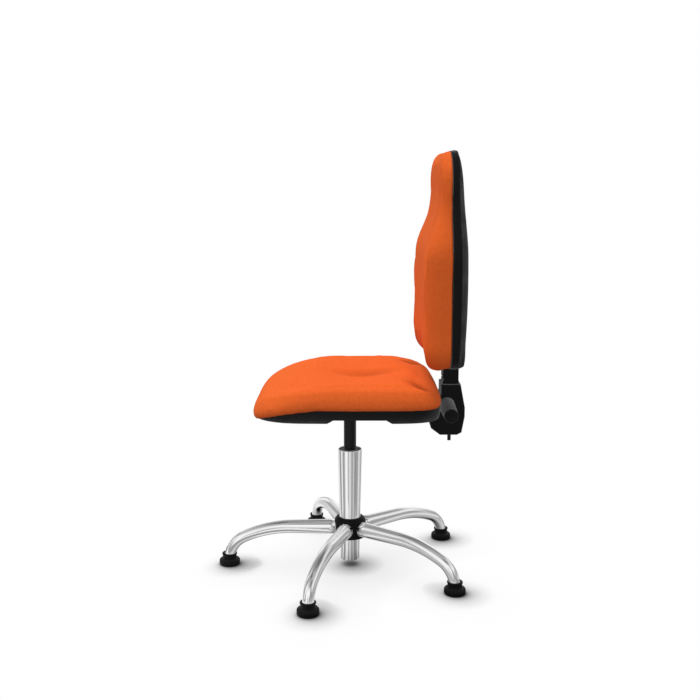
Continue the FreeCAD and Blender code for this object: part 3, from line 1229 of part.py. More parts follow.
def build_covers():
    """Two moulded halves round the joint, with the sleeve that stands on them round the bar."""
    half = "Dim.cover_half_width"
    outer_x = size("cover_half_width")
    across = (mirrored(half), half)
    opening_x = f"({BRACKET_OUT} + Dim.soft_gap - Dim.plate_wall)"
    bar_x = "(Dim.bar_half_width + Dim.soft_gap)"
    front_slot = block(
        "cover_front_slot",
        (mirrored(opening_x), opening_x),
        ("Dim.pivot_y - 2 * Dim.cover_front", "Dim.pivot_y - Dim.neck_front + Dim.cover_wall"),
        (f"{PIVOT_Z} - Dim.lip_drop", f"{PIVOT_Z} + Dim.lip_rise"),
    )
    bar_slot = block(
        "cover_bar_slot",
        (mirrored(bar_x), bar_x),
        (f"{BAR_FRONT} - Dim.soft_gap", f"{BAR_REAR} + Dim.soft_gap"),
        (f"{COVER_TOP} - 2 * Dim.cover_wall", f"{COVER_TOP} + Dim.cover_wall"),
    )
    bolt_way = round_bar("cover_bolt_hole", "Dim.pivot_head_radius + Dim.soft_gap", "x", across,
                         y="Dim.pivot_y", z=PIVOT_Z)
    stop_way = round_bar("cover_stop_hole", "Dim.stop_radius + Dim.soft_gap", "z",
                         (f"{PIVOT_Z} - Dim.stop_bottom", f"{PIVOT_Z} - Dim.stop_top"),
                         y="Dim.pivot_y + Dim.stop_y")
    screw_y = "Dim.pivot_y + Dim.cover_screw_y"
    heights = {"low": f"{PIVOT_Z} - Dim.cover_screw_low", "high": f"{PIVOT_Z} + Dim.cover_screw_high"}
    inside = f"({half} - Dim.cover_wall)"
    split = "(Dim.fit_gap / 2)"
    for side, sign in (("left", ""), ("right", "-")):
        body = padded(f"cover_{side}_blank", "YZ_Plane", cover_corners("0"), half)
        if sign:
            body.Tip.Reversed = True
            doc.recompute()
        face_x = -outer_x if sign else outer_x

        def on_outer_face(edge):
            return all(abs(vertex.X - face_x) < 0.01 for vertex in edge.Vertexes)

        rounded(body, f"cover_{side}_edges", "Dim.cover_round", on_outer_face)
        hollow = outline(body, f"cover_{side}_hollow", "YZ_Plane", cover_corners("Dim.cover_wall"))
        pocket(body, hollow, f"2 * {inside}")
        posts = []
        bores = []
        for level, height in heights.items():
            name = f"cover_{side}_{level}"
            post_ends = (split, inside) if not sign else (mirrored(inside), mirrored(split))
            bore_ends = ("0", f"{inside} - Dim.post_floor") if not sign else (mirrored(half), "0")
            posts.append(round_bar(f"{name}_post", "Dim.stop_radius", "x", post_ends, y=screw_y, z=height))
            bores.append(round_bar(f"{name}_bore", "Dim.screw_radius + Dim.fit_gap", "x", bore_ends,
                                   y=screw_y, z=height))
        halves = joined(f"cover_{side}_whole", [body] + posts)
        plane = (mirrored(split), split)
        everywhere_y = ("Dim.pivot_y - 2 * Dim.cover_front", "Dim.pivot_y + 2 * Dim.cover_rear")
        everywhere_z = (f"{PIVOT_Z} - 2 * Dim.cover_drop", f"{PIVOT_Z} + 2 * Dim.cover_rise")
        saw = block(f"cover_{side}_saw", plane, everywhere_y, everywhere_z)
        tools = [front_slot, bar_slot, bolt_way, stop_way, saw] + bores
        keep(cut(f"elbow_cover_{side}", halves, tools))
    screws = []
    for level, height in heights.items():
        reach = f"{inside} - Dim.post_floor - Dim.fit_gap"
        shank = round_bar(f"cover_screw_{level}", "Dim.screw_radius", "x", (mirrored(half), reach),
                          y=screw_y, z=height)
        head_start = mirrored(f"{half} + Dim.screw_head_height")
        head = round_bar(f"cover_screw_{level}_head", "Dim.screw_head_radius", "x",
                         (head_start, mirrored(half)), y=screw_y, z=height)
        screws.append(joined(f"cover_screw_{level}_whole", [shank, head]))
    keep(joined("cover_screws", screws))
    build_bar_sleeve(bar_x)


def build_bar_sleeve(bar_x):
    """Moulded sleeve round the foot of the bar, with a groove across its front."""
    half = "Dim.sleeve_half_width"
    wall = "Dim.bar_sleeve_wall"
    low = f"({COVER_TOP} + Dim.fit_gap)"
    high = f"({COVER_TOP} + Dim.bar_sleeve_length)"
    front = "(Dim.pivot_y - Dim.bar_sleeve_front)"
    rear = "(Dim.pivot_y + Dim.bar_sleeve_rear)"
    body = padded("bar_cover_blank", "XY_Plane", [
        (mirrored(half), front),
        (half, front),
        (half, rear),
        (mirrored(half), rear),
    ], f"{high} - {low}", low)
    rounded(body, "bar_cover_edges", wall, lambda edge: runs_along(edge, "z"))
    room = block(
        "bar_cover_room",
        (mirrored(f"{half} - {wall}"), f"{half} - {wall}"),
        (f"{front} + {wall}", f"{rear} - {wall}"),
        (f"{low} - {wall}", f"{high} - {wall}"),
    )
    slot = block(
        "bar_cover_slot",
        (mirrored(bar_x), bar_x),
        (f"{BAR_FRONT} - Dim.soft_gap", f"{BAR_REAR} + Dim.soft_gap"),
        (low, f"{high} + {wall}"),
    )
    groove = round_bar("bar_cover_groove", "Dim.groove_radius", "x", (mirrored(half), half),
                       y=front, z=f"{low} + Dim.groove_rise")
    keep(cut("bar_cover", body, [room, slot, groove]))


def build_knob():
    """Long tapered knob on the end of the pivot bolt, with the nut moulded into it."""
    bore = "Dim.pivot_radius + Dim.run_gap"
    length = "Dim.knob_length"
    knob = turned("knob_blank", [
        (bore, "0"),
        ("Dim.knob_base_radius", "0"),
        ("Dim.knob_tip_radius", f"{length} - Dim.knob_bevel"),
        ("Dim.knob_tip_radius - Dim.knob_bevel", length),
        ("0", length),
        ("0", f"{length} - Dim.knob_wall"),
        (bore, f"{length} - Dim.knob_wall"),
    ])
    start = "Dim.cover_half_width + Dim.knob_gap"
    place = {"x": start, "y": "Dim.pivot_y", "z": PIVOT_Z}
    knob.Placement = FreeCAD.Placement(FreeCAD.Vector(), ALONG["x"])
    for axis, formula in place.items():
        knob.setExpression(f"Placement.Base.{axis}", formula)
    nuts = []
    for name, extra in (("knob_nut_blank", "0"), ("knob_nut_room", "Dim.fit_gap")):
        nut = doc.addObject("Part::Prism", name)
        nut.Polygon = HEX_SIDES
        nut.Placement = FreeCAD.Placement(FreeCAD.Vector(), ALONG["x"])
        nut.setExpression("Circumradius", f"Dim.nut_radius + {extra}")
        nut.setExpression("Height", f"Dim.nut_length + 2 * {extra}")
        nut.setExpression("Placement.Base.x", f"{start} + Dim.nut_start - {extra}")
        nut.setExpression("Placement.Base.y", "Dim.pivot_y")
        nut.setExpression("Placement.Base.z", PIVOT_Z)
        nuts.append(nut)
    keep(cut("knob_grip", knob, [nuts[1]]))
    hole = round_bar("knob_nut_hole", bore, "x", (start, f"{start} + {length}"), y="Dim.pivot_y", z=PIVOT_Z)
    keep(cut("knob_nut", nuts[0], [hole]))


# Backrest

BACK_STATIONS = (0.002, 0.02, 0.06, 0.15, 0.3, 0.46, 0.54, 0.62, 0.7, 0.78, 0.86, 0.93, 0.98, 0.998)


def back_z(share):
    """Height at a share of the way up the back."""
    return size("plate_top") + size("back_rise") + share * size("back_height")


def smooth_step(value):
    """0 below 0, 1 above 1, with a smooth rise between."""
    inside = min(1.0, max(0.0, value))
    return inside * inside * (3 - 2 * inside)


def back_rise_of(z):
    """Height above the bottom of the back."""
    return z - size("plate_top") - size("back_rise")


def back_upper(z):
    """0 in the lower part of the back, 1 in the narrower upper part."""
    return smooth_step((back_rise_of(z) - size("back_step_rise")) / size("back_step_length"))


def back_half(z):
    """Half width of the back, with round corners at both ends."""
    low = size("back_low_half_width")
    half = low + (size("back_high_half_width") - low) * back_upper(z)
    rise = back_rise_of(z)
    for corner, inside in (
        (size("back_low_corner"), rise),
        (size("back_high_corner"), size("back_height") - rise),
    ):
        missing = max(0.0, corner - inside)
        half -= corner - math.sqrt(corner ** 2 - missing ** 2)
    return half


def back_seam(z):
    """Depth of the seam between cushion and shell."""
    start = size("back_lean_rise")
    along = max(0.0, back_rise_of(z) - start) / (size("back_height") - start)
    return size("back_seam") + size("back_lean") * along ** 2


def back_front(z):
    """Depth of the cushion's front, rolled over at both ends."""
    low = size("back_low_front")
    front = low + (size("back_high_front") - low) * back_upper(z)
    rise = back_rise_of(z)
    for roll, inside, depth in (
        (size("back_low_roll"), rise, size("back_low_roll_depth")),
        (size("back_high_roll"), size("back_height") - rise, size("back_high_roll_depth")),
    ):
        over = max(0.0, 1 - inside / roll)
        front += depth * (1 - math.sqrt(1 - over ** 2))
    return front


def back_section(share):
    """One level section through the back cushion."""
    z = back_z(share)
    rear = back_seam(z)
    front = back_front(z)
    low_hollow = size("back_low_hollow")
    hollow = low_hollow + (size("back_high_hollow") - low_hollow) * back_upper(z)
    wide = rear - min(size("back_bulge"), (rear - front) * MOST_BULGE)
    return padded_section(
        lambda across, depth: FreeCAD.Vector(across, depth, z),
        back_half(z), rear, wide, front, size("back_tuck"), size("back_side_roll"), front + hollow,
    )


def panel_corners(extra):
    """Front view of the back board, larger by extra all round."""
    low_half = f"(Dim.back_low_half_width - Dim.panel_margin + {extra})"
    high_half = f"(Dim.back_high_half_width - Dim.panel_margin + {extra})"
    bottom = f"({BACK_BOTTOM} + Dim.panel_margin - {extra})"
    top = f"({BACK_TOP} - Dim.panel_margin - Dim.back_high_roll / 3 + {extra})"
    step = f"({BACK_BOTTOM} + Dim.back_step_rise)"
    narrow = f"({step} + Dim.back_step_length)"
    corner = "Dim.panel_corner"
    right = [
        (f"{low_half} - {corner}", bottom),
        (low_half, f"{bottom} + {corner}"),
        (low_half, step),
        (high_half, narrow),
        (high_half, f"{top} - {corner}"),
        (f"{high_half} - {corner}", top),
    ]
    return right + [(mirrored(x), z) for x, z in reversed(right)]


def panel_holes():
    """Pilot holes in the back board: across, height and radius."""
    gap = "Dim.screw_radius + Dim.fit_gap"
    holes = []
    for x in ("Dim.guide_screw_x", "-Dim.guide_screw_x"):
        for z in guide_screw_heights():
            holes.append((x, z, gap))
    for x in ("Dim.shell_screw_x", "-Dim.shell_screw_x"):
        for z in (f"{BACK_BOTTOM} + Dim.shell_screw_low", f"{BACK_TOP} - Dim.shell_screw_high"):
            holes.append((x, z, gap))
    return holes


def guide_screw_heights():
    """Formulas for the two levels of the guide's screws."""
    low = f"({BACK_BOTTOM} + Dim.guide_rise + Dim.guide_screw_inset)"
    return low, f"({low} + Dim.guide_length - 2 * Dim.guide_screw_inset)"


def build_back_panel():
    """Plywood board behind the cushion, and the cushion recessed for it and for the bar's sleeve."""
    rear = mirrored(PANEL_REAR)
    board = padded("back_board", "XZ_Plane", panel_corners("0"), "Dim.panel_thickness", rear)
    pocket(board, hole_circles(board, "back_board_holes", "XZ_Plane", panel_holes()), start=rear)
    keep(board)
    form = Part.makeLoft([back_section(share) for share in BACK_STATIONS], True, False)
    deep = "(Dim.panel_thickness + Dim.back_lean + 2 * Dim.soft_gap)"
    room = padded("back_board_room", "XZ_Plane", panel_corners("Dim.soft_gap"), deep,
                  mirrored(f"{PANEL_FRONT} - Dim.soft_gap + {deep}"))
    slot = block(
        "back_foam_slot",
        (mirrored("Dim.shell_slot_half_width"), "Dim.shell_slot_half_width"),
        ("Dim.pivot_y - Dim.bar_sleeve_front - Dim.bar_sleeve_wall", "Dim.pivot_y + Dim.bar_sleeve_rear"),
        (f"{BACK_BOTTOM} - Dim.shell_slot_height", f"{BACK_BOTTOM} + Dim.shell_slot_height"),
    )
    keep(cut("back_cushion", made("back_foam", form), [room, slot]))


def shell_section(share, wall):
    """One level section through the rear shell, smaller by a wall for its inside."""
    z = back_z(share)
    rim = back_seam(z) + size("soft_gap")
    off = (back_rise_of(z) - size("shell_middle")) / size("shell_reach")
    depth = size("shell_depth") - size("shell_loss") * off ** 2
    half = back_half(z) - size("shell_inset") - wall
    bevel = size("shell_bevel") * depth / size("shell_depth")
    side = rim + depth * SHELL_SIDE
    rear = rim + depth - size("shell_crown") - wall
    first = rim - (size("panel_thickness") if wall else 0)

    def point(across, depth_y):
        return FreeCAD.Vector(across, depth_y, z)

    edges = [
        Part.LineSegment(point(-half, first), point(half, first)),
        Part.LineSegment(point(half, first), point(half, side - wall)),
        Part.LineSegment(point(half, side - wall), point(half - bevel, rear)),
        Part.Arc(point(half - bevel, rear), point(0, rear + size("shell_crown")), point(bevel - half, rear)),
        Part.LineSegment(point(bevel - half, rear), point(-half, side - wall)),
        Part.LineSegment(point(-half, side - wall), point(-half, first)),
    ]
    return Part.Wire([edge.toShape() for edge in edges])


def shell_screw_places():
    """Where the four shell screws stand, across and up."""
    bottom = size("plate_top") + size("back_rise")
    top = bottom + size("back_height")
    heights = (bottom + size("shell_screw_low"), top - size("shell_screw_high"))
    return [(x * size("shell_screw_x"), z) for x in (-1, 1) for z in heights]


def build_back_shell():
    """Moulded rear shell with screw posts to the board and a slot for the bar, and its screws."""
    wall = size("shell_wall")
    inward = wall / size("back_height")
    inner_stations = [inward + share * (1 - 2 * inward) for share in BACK_STATIONS]
    outer = Part.makeLoft([shell_section(share, 0) for share in BACK_STATIONS], True, False)
    inner = Part.makeLoft([shell_section(share, wall) for share in inner_stations], True, False)
    shell = outer.cut(inner)
    front = size("back_seam") - 2 * size("soft_gap") + size("fit_gap")
    seat = front + size("post_floor")
    far = size("back_seam") + 2 * size("shell_depth")
    screws = []
    for x, z in shell_screw_places():
        post = stud(size("post_radius"), front, far, x, z, "y")
        room = stud(size("post_radius"), front, size("back_seam") + size("shell_depth") / 4, x, z, "y")
        shell = shell.fuse(post.common(outer).fuse(room))
        shell = shell.cut(stud(size("screw_head_radius") + size("soft_gap"), seat, far, x, z, "y"))
        shell = shell.cut(stud(size("screw_radius") + size("fit_gap"), front - wall, seat, x, z, "y"))
        head = stud(size("screw_head_radius"), seat, seat + size("screw_head_height"), x, z, "y")
        screws.append(head.fuse(stud(size("screw_radius"), front - size("screw_bite"), seat, x, z, "y")))
    slot_half = "Dim.shell_slot_half_width"
    slot = block(
        "shell_slot",
        (mirrored(slot_half), slot_half),
        ("Dim.back_seam - Dim.shell_depth", "Dim.back_seam + 2 * Dim.shell_depth"),
        (f"{BACK_BOTTOM} - Dim.shell_slot_height", f"{BACK_BOTTOM} + Dim.shell_slot_height"),
    )
    keep(cut("back_shell", made("shell_whole", shell), [slot]))
    keep(made("shell_screws", Part.makeCompound(screws)))


def build_guide():
    """Guide block on the board that runs on the bar, its friction pad and its screws."""
    low = f"({BACK_BOTTOM} + Dim.guide_rise)"
    high = f"({low} + Dim.guide_length)"
    front = f"({PANEL_REAR} + Dim.fit_gap)"
    half = "Dim.guide_half_width"
    flange = "Dim.guide_flange"
    flange_rear = f"({front} + Dim.guide_wall)"
    rear = f"{BAR_REAR} + Dim.guide_wall"
    body = block("guide_block", (mirrored(half), half), (front, rear), (low, high))
    wings = block("guide_wings", (mirrored(flange), flange), (front, flange_rear), (low, high))
    slide = "(Dim.bar_half_width + Dim.fit_gap)"
    way = block(
        "guide_way",
        (mirrored(slide), slide),
        (f"{BAR_FRONT} - Dim.fit_gap", f"{BAR_REAR} + Dim.fit_gap"),
        (f"{low} - Dim.guide_wall", f"{high} + Dim.guide_wall"),
    )
    pad_half = "Dim.guide_pad_half_width"
    pad_low = f"({low} + (Dim.guide_length - Dim.guide_pad_length) / 2)"
    pad_high = f"({pad_low} + Dim.guide_pad_length)"
    pad_front = f"({BAR_FRONT} - Dim.guide_pad_depth)"
    gap = "Dim.fit_gap"
    pad_room = block(
        "guide_pad_room",
        (f"-{pad_half} - {gap}", f"{pad_half} + {gap}"),
        (f"{pad_front} - {gap}", BAR_FRONT),
        (f"{pad_low} - {gap}", f"{pad_high} + {gap}"),
    )
    holes = []
    screws = []
    shank_start = f"{front} - Dim.screw_bite + Dim.fit_gap"
    head_end = f"{flange_rear} + Dim.screw_head_height"
    for side, x in (("left", "Dim.guide_screw_x"), ("right", "-Dim.guide_screw_x")):
        for level, z in zip(("low", "high"), guide_screw_heights()):
            name = f"guide_{side}_{level}"
            holes.append(round_bar(f"{name}_hole", "Dim.screw_radius + Dim.fit_gap", "y",
                                   (f"{front} - {gap}", f"{flange_rear} + {gap}"), x=x, z=z))
            shank = round_bar(f"{name}_shank", "Dim.screw_radius", "y", (shank_start, flange_rear), x=x, z=z)
            head = round_bar(f"{name}_head", "Dim.screw_head_radius", "y", (flange_rear, head_end), x=x, z=z)
            screws.append(joined(f"{name}_screw", [shank, head]))
    keep(cut("height_guide", joined("guide_whole", [body, wings]), [way, pad_room] + holes))
    keep(joined("guide_screws", screws))
    keep(block("guide_pad", (mirrored(pad_half), pad_half), (pad_front, f"{BAR_FRONT} - {gap} / 2"),
               (pad_low, pad_high)))


def write_parts():
    """Check every object, then write one file for each piece."""
    doc.recompute()
    faults = [item.Name for item in doc.Objects if {"Invalid", "Error"} & set(item.State)]
    for item in sub_parts:
        if item.Shape.isNull() or not item.Shape.isValid() or not item.Shape.Solids:
            faults.append(item.Label)
    if faults:
        raise RuntimeError(f"not sound: {sorted(set(faults))}")
    for item in sub_parts:
        item.Shape.exportStep(f"parts/{item.Label}.step")
        print(item.Label, len(item.Shape.Solids), "solids", round(item.Shape.Volume), "mm3")


build_hub()
build_legs()
build_glides()
build_column()
build_bearing()
build_rod()
build_gas_cylinder()
build_socket()
build_plate()
build_arm()
build_lever()
build_board()
build_seat_fasteners()
build_seat_cushion()
build_seat_pan()
build_pivot()
build_bracket()
build_covers()
build_knob()
build_back_panel()
build_back_shell()
build_guide()
write_parts()
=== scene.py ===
import json
import math
from functools import partial

import bmesh
import bpy
from bpy.props import FloatProperty, FloatVectorProperty, PointerProperty
from mathutils import Matrix, Vector, noise


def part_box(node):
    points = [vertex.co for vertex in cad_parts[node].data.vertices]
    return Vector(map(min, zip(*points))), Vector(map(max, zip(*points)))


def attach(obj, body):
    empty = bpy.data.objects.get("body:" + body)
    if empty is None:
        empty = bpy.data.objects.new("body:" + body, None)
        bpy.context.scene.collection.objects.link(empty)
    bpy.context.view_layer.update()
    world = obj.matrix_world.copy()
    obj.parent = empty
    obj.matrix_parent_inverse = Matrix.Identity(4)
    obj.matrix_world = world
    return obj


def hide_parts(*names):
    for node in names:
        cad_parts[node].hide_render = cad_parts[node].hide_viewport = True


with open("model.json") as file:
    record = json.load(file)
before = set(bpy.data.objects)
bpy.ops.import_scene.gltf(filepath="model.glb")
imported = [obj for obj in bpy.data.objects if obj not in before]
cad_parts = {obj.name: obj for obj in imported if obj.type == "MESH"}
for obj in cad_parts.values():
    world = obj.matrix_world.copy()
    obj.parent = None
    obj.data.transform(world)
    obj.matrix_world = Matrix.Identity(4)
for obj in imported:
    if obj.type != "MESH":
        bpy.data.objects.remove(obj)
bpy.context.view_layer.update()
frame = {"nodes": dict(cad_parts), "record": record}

bl_info = {
    "name": "Office chair finish",
    "version": (1, 0, 0),
    "blender": (4, 5, 0),
    "location": "3D View > Sidebar > Chair",
    "description": "Builds the visible pieces and finishes of the office chair on its packed frame",
    "category": "Object",
}

MM = 0.001
# Points this close are one point, in a finished mesh and while a form is made
MERGE_GAP = 0.01 * MM
FINE_GAP = 0.001 * MM
# Edges that turn by more than this many degrees are shaded sharp, unless a piece says otherwise
SHARP_TURN = 35
LEG_NAMES = ("front", "left_front", "left_rear", "right_rear", "right_front")
FIRST_LEG_ANGLE = math.radians(270)
NODE_SLOTS = {item["node"]: item["material_slot"] for item in frame["record"]["subparts"]}


def linear(hex_colour):
    """An sRGB hex colour as linear red, green, blue and alpha."""
    parts = [int(hex_colour[start:start + 2], 16) / 255 for start in (1, 3, 5)]
    light = [part / 12.92 if part <= 0.04045 else ((part + 0.055) / 1.055) ** 2.4 for part in parts]
    return (*light, 1.0)


def colour(name, description, hex_colour):
    """A colour that a user may change."""
    return FloatVectorProperty(
        name=name, description=description, subtype="COLOR", size=4, min=0, max=1, default=linear(hex_colour)
    )


def length(name, description, millimetres):
    """A length that a user may change; the default is given in millimetres."""
    return FloatProperty(
        name=name, description=description, default=millimetres * MM, unit="LENGTH", precision=4
    )


def turn(name, description, degrees):
    """An angle that a user may change; the default is given in degrees."""
    return FloatProperty(
        name=name, description=description, default=math.radians(degrees), subtype="ANGLE", unit="ROTATION"
    )


def share(name, description, default):
    """A plain share or strength that a user may change."""
    return FloatProperty(name=name, description=description, default=default, min=0)


class ChairFinishes(bpy.types.PropertyGroup):
    fabric_light: colour("Light yarn", "Lighter yarn of the upholstery", "#FC7333")
    fabric_dark: colour("Dark yarn", "Darker yarn of the upholstery", "#EC682C")
    # Painted shade: the tint that the upholstery's colour is multiplied towards in its creases, turned edges
    # and hollow.
    fabric_painted_shade: colour("Fold", "Tint of the upholstery in its folds", "#B0AAA6")
    moulding: colour("Moulding", "Black moulded plastic", "#131314")
    inner: colour("Inner plastic", "Plastic pieces inside the chair", "#161618")
    plating: colour("Plating", "Chromed tube", "#EFEFF0")
    paint: colour("Paint", "Black painted steel", "#0A0A0B")
    zinc: colour("Zinc", "Zinc plated steel", "#B4B5B8")
    brass: colour("Brass", "Brass tee nuts", "#C7A552")
    rubber: colour("Rubber", "Rubber stop", "#1A1A1A")
    ply_light: colour("Light veneer", "Pale bands of the plywood", "#D9B98A")
    ply_dark: colour("Dark veneer", "Dark bands of the plywood", "#B98F5C")
    thread: length("Thread", "Spacing of the threads as drawn", 2.8)


class ChairSoft(bpy.types.PropertyGroup):
    voxel: length("Voxel", "Mesh size of the padded pieces", 4.5)
    shrink: length("Shrink", "How much smaller the padding starts", 1.5)
    swell: length("Swell", "Most that the padding may swell", 4.5)
    settle: length("Settle", "Most that the padding may sink", 0.5)
    pressure: share("Pressure", "Air pressure that swells the padding", 4)
    board_room: length("Board room", "Padding that is held round a board's edges", 8)
    board_depth: length("Board depth", "Padding that is held over a board's face", 2)


class ChairSeat(bpy.types.PropertyGroup):
    front_square: share("Front squareness", "Power of the seat's oval outline at the front", 3.2)
    rear_square: share("Rear squareness", "Power of the seat's oval outline at the rear", 6)
    lip_start: length("Lip start", "Where the front lip starts to bend down", -50)
    lip_length: length("Lip length", "Length of the front lip", 154)
    lip_drop: length("Lip drop", "How far the front lip bends down", 38)
    dish: length("Dish", "Extra depth of the hollow", 12)
    dish_x: length("Dish across", "Place of the hollow across the seat", -8)
    dish_y: length("Dish along", "Place of the hollow along the seat", 35)
    dish_width: length("Dish width", "Reach of the hollow across the seat", 30)
    dish_length: length("Dish length", "Reach of the hollow along the seat", 75)
    dimple: length("Dimple", "Depth of the creases towards the rear corners", 8)
    crease_x: length("Crease across", "Middle of the seat to the middle of a crease", 138)
    crease_y: length("Crease along", "Place of the creases along the seat", 148)
    crease_length: length("Crease length", "Reach of a crease along itself", 34)
    crease_width: length("Crease width", "Reach of a crease to its sides", 17)
    crease_turn: turn("Crease turn", "Turn of a crease away from straight across", 33.31)
    bolster: length("Bolster", "How far the sides stand above the middle", 2.5)
    bolster_start: length("Bolster start", "Middle of the seat to where a side starts to rise", 60)
    bolster_width: length("Bolster width", "Width over which a side rises", 60)
    bolster_length: length("Bolster length", "Reach of the raised sides along the seat", 70)
    wave: length("Wave", "Depth of the slight unevenness of the padding", 0.8)
    wave_length: length("Wave length", "Size of the slight unevenness of the padding", 71.43)
    droop: length("Droop", "How far the edge hangs over the pan's rim", 12)
    overhang: length("Overhang", "How far the edge stands out beyond the pan", 6)
    edge_start: share("Edge start", "Share of the outline at which the edge starts", 0.94)
    edge_width: share("Edge width", "Share of the outline over which the edge comes to hang", 0.035)
    nose: length("Nose", "Extra overhang at the front", 5)
    nose_start: length("Nose start", "Where the extra overhang starts", -90)
    nose_length: length("Nose length", "Distance over which it grows", 80)
    tuck: share("Tuck", "Share of the overhang that is left where the edge turns under", 0.3)
    hang_height: length("Hang height", "Height of the edge that hangs and stands out", 50)
    tuck_height: length("Tuck height", "Height over which the edge turns under", 14)
    # Painted shade on the seat's cover: darker along the edge that turns under, in the creases and in a
    # streak in the hollow.
    edge_painted_shade: share("Edge fold", "How dark the turned edge is", 0.8)
    edge_shade_height: length("Fold height", "Height over which the turned edge is darker", 16)
    crease_painted_shade: share("Crease fold", "How dark the creases are", 0.9)
    streak_painted_shade: share("Streak fold", "How dark the streak in the hollow is", 0.4)
    streak_x: length("Streak across", "Place of the streak across the seat", -20)
    streak_y: length("Streak along", "Place of the streak along the seat", 40)
    streak_width: length("Streak width", "Reach of the streak across the seat", 22)
    streak_length: length("Streak length", "Reach of the streak along the seat", 60)


class ChairBack(bpy.types.PropertyGroup):
    droop: length("Droop", "How far the lower edge hangs", 5)
    droop_height: length("Droop height", "Height of the part that hangs", 55)
    droop_depth: length("Droop depth", "Distance in front of the board over which it comes to hang", 12)
    droop_lean: share("Droop lean", "How far the lower edge stands out, as a share of the hang", 0.6)
    # Painted shade along the lower edge of the back's cover.
    painted_shade: share("Fold", "How dark the lower edge is", 0.6)


class ChairBase(bpy.types.PropertyGroup):
    foot_circle: length("Foot circle", "Swivel axis to the middle of a glide", 278)
    leg_height: length("Leg height", "Axis of the straight run of a leg", 90)
    root_radius: length("Root radius", "Leg tube at the hub", 17)
    tip_radius: length("Tip radius", "Leg tube at the glide", 12)
    tube_wall: length("Tube wall", "Wall of the leg tubes", 1.5)
    leg_start: length("Leg start", "Swivel axis to the end of a leg in the hub", 30.2)
    leg_end: length("Leg end", "Height of a leg's lower end", 12.1)
    bend_radius: length("Bend radius", "Long first bend of a leg", 260)
    bend_angle: turn("Bend angle", "Turn of the first bend", 25)
    column_foot: length("Column foot", "Radius of the column's lower end", 21.5)
    column_wall: length("Column wall", "Wall of the column", 2)


class ChairShell(bpy.types.PropertyGroup):
    seam: length("Seam", "Depth of the shell's rim", 207.3)
    lean: length("Lean", "How far the top of the rim leans back", 2)
    lean_rise: length("Lean start", "Bottom of the shell to where the lean starts", 264)
    low_half: length("Lower half width", "Lower part of the shell", 188)
    high_half: length("Upper half width", "Upper part of the shell", 148)
    step_rise: length("Step", "Bottom of the shell to where it starts to narrow", 225)
    step_length: length("Step length", "Length of the narrowing", 125)
    low_corner: length("Lower corners", "Rounding of the lower corners", 43)
    high_corner: length("Upper corners", "Rounding of the upper corners", 83)
    depth: length("Depth", "Deepest part of the shell", 40)
    loss: length("Loss", "Depth lost towards the ends", 16)
    middle: length("Middle", "Bottom of the shell to its deepest part", 170)
    reach: length("Reach", "Distance over which that depth is lost", 250)
    side: share("Side", "Share of the depth that is straight side", 0.45)
    bevel: length("Bevel", "Sloped border at the sides", 42)
    top_end: length("Top end", "Rounding of the top end", 9)
    low_end: length("Bottom end", "Rounding of the bottom end", 5)
    bulge: share("Bulge", "Power of the sloped border's roundness", 1.35)
    crown: length("Crown", "Crown of the rear", 5)
    wall: length("Wall", "Moulded wall", 3)
    slot_half: length("Slot half width", "Slot for the bar", 28)
    slot_height: length("Slot height", "Slot for the bar", 28)
    screw_x: length("Screws across", "Screws either side of the middle", 105)
    screw_low: length("Lower screws", "Bottom of the shell to the lower screws", 79.1)
    screw_high: length("Upper screws", "Top of the shell to the upper screws", 98.1)
    post: length("Post", "Radius of a screw post", 7)
    post_gap: length("Post gap", "Rear of the shell to the end of a post", 1)
    screw_hole: length("Screw hole", "Radius of the hole for a screw", 2.1)
    head_hole: length("Head hole", "Radius of the hole for a screw's head", 4.3)
    head_seat: length("Head seat", "Thickness under a screw's head", 5)


class ChairStudio(bpy.types.PropertyGroup):
    camera_x: length("Camera distance", "Camera to the middle of the chair", 2107.3)
    camera_z: length("Camera height", "Camera above the floor", 873.1)
    pitch: turn("Pitch", "Camera's tilt below level", 10)
    view_angle: turn("View angle", "Width of the camera's view", 40)
    sun: share("Sun", "Strength of the soft overhead light", 1.8)
    sun_width: turn("Sun width", "How broad the overhead light is", 40)
    sun_front: turn("Sun front", "How far the light comes from the front", 14)
    sun_near: turn("Sun near", "How far the light comes from the near side", -5)
    ambient: share("Ambient", "Light from all round", 0.5)
    floor: length("Floor", "Half the side of the floor", 30000)


# Materials

def add_node(tree, kind, inputs=None, **settings):
    """Add one node with its settings, and set or link its inputs."""
    node = tree.nodes.new(kind)
    for name, value in settings.items():
        setattr(node, name, value)
    for socket, value in (inputs or {}).items():
        if isinstance(value, bpy.types.NodeSocket):
            tree.links.new(value, node.inputs[socket])
        else:
            node.inputs[socket].default_value = value
    return node


def start_material(name):
    """A new material with an empty node tree."""
    material = bpy.data.materials.new(name)
    material.use_nodes = True
    material.node_tree.nodes.clear()
    return material, material.node_tree


def close_material(tree, inputs):
    """The shader and output that end a material."""
    shader = add_node(tree, "ShaderNodeBsdfPrincipled", inputs)
    add_node(tree, "ShaderNodeOutputMaterial", {"Surface": shader.outputs["BSDF"]})


def uneven_gloss(tree, place, size, low, high, inputs):
    """A cloudy pattern of a real size, and a roughness between two levels that follows it."""
    pattern = add_node(tree, "ShaderNodeTexNoise", {"Vector": place, "Scale": 1 / size, **inputs}).outputs[0]
    rough = add_node(
        tree, "ShaderNodeMapRange",
        {"Value": pattern, "From Min": 0.3, "From Max": 0.7, "To Min": low, "To Max": high},
    ).outputs[0]
    return pattern, rough


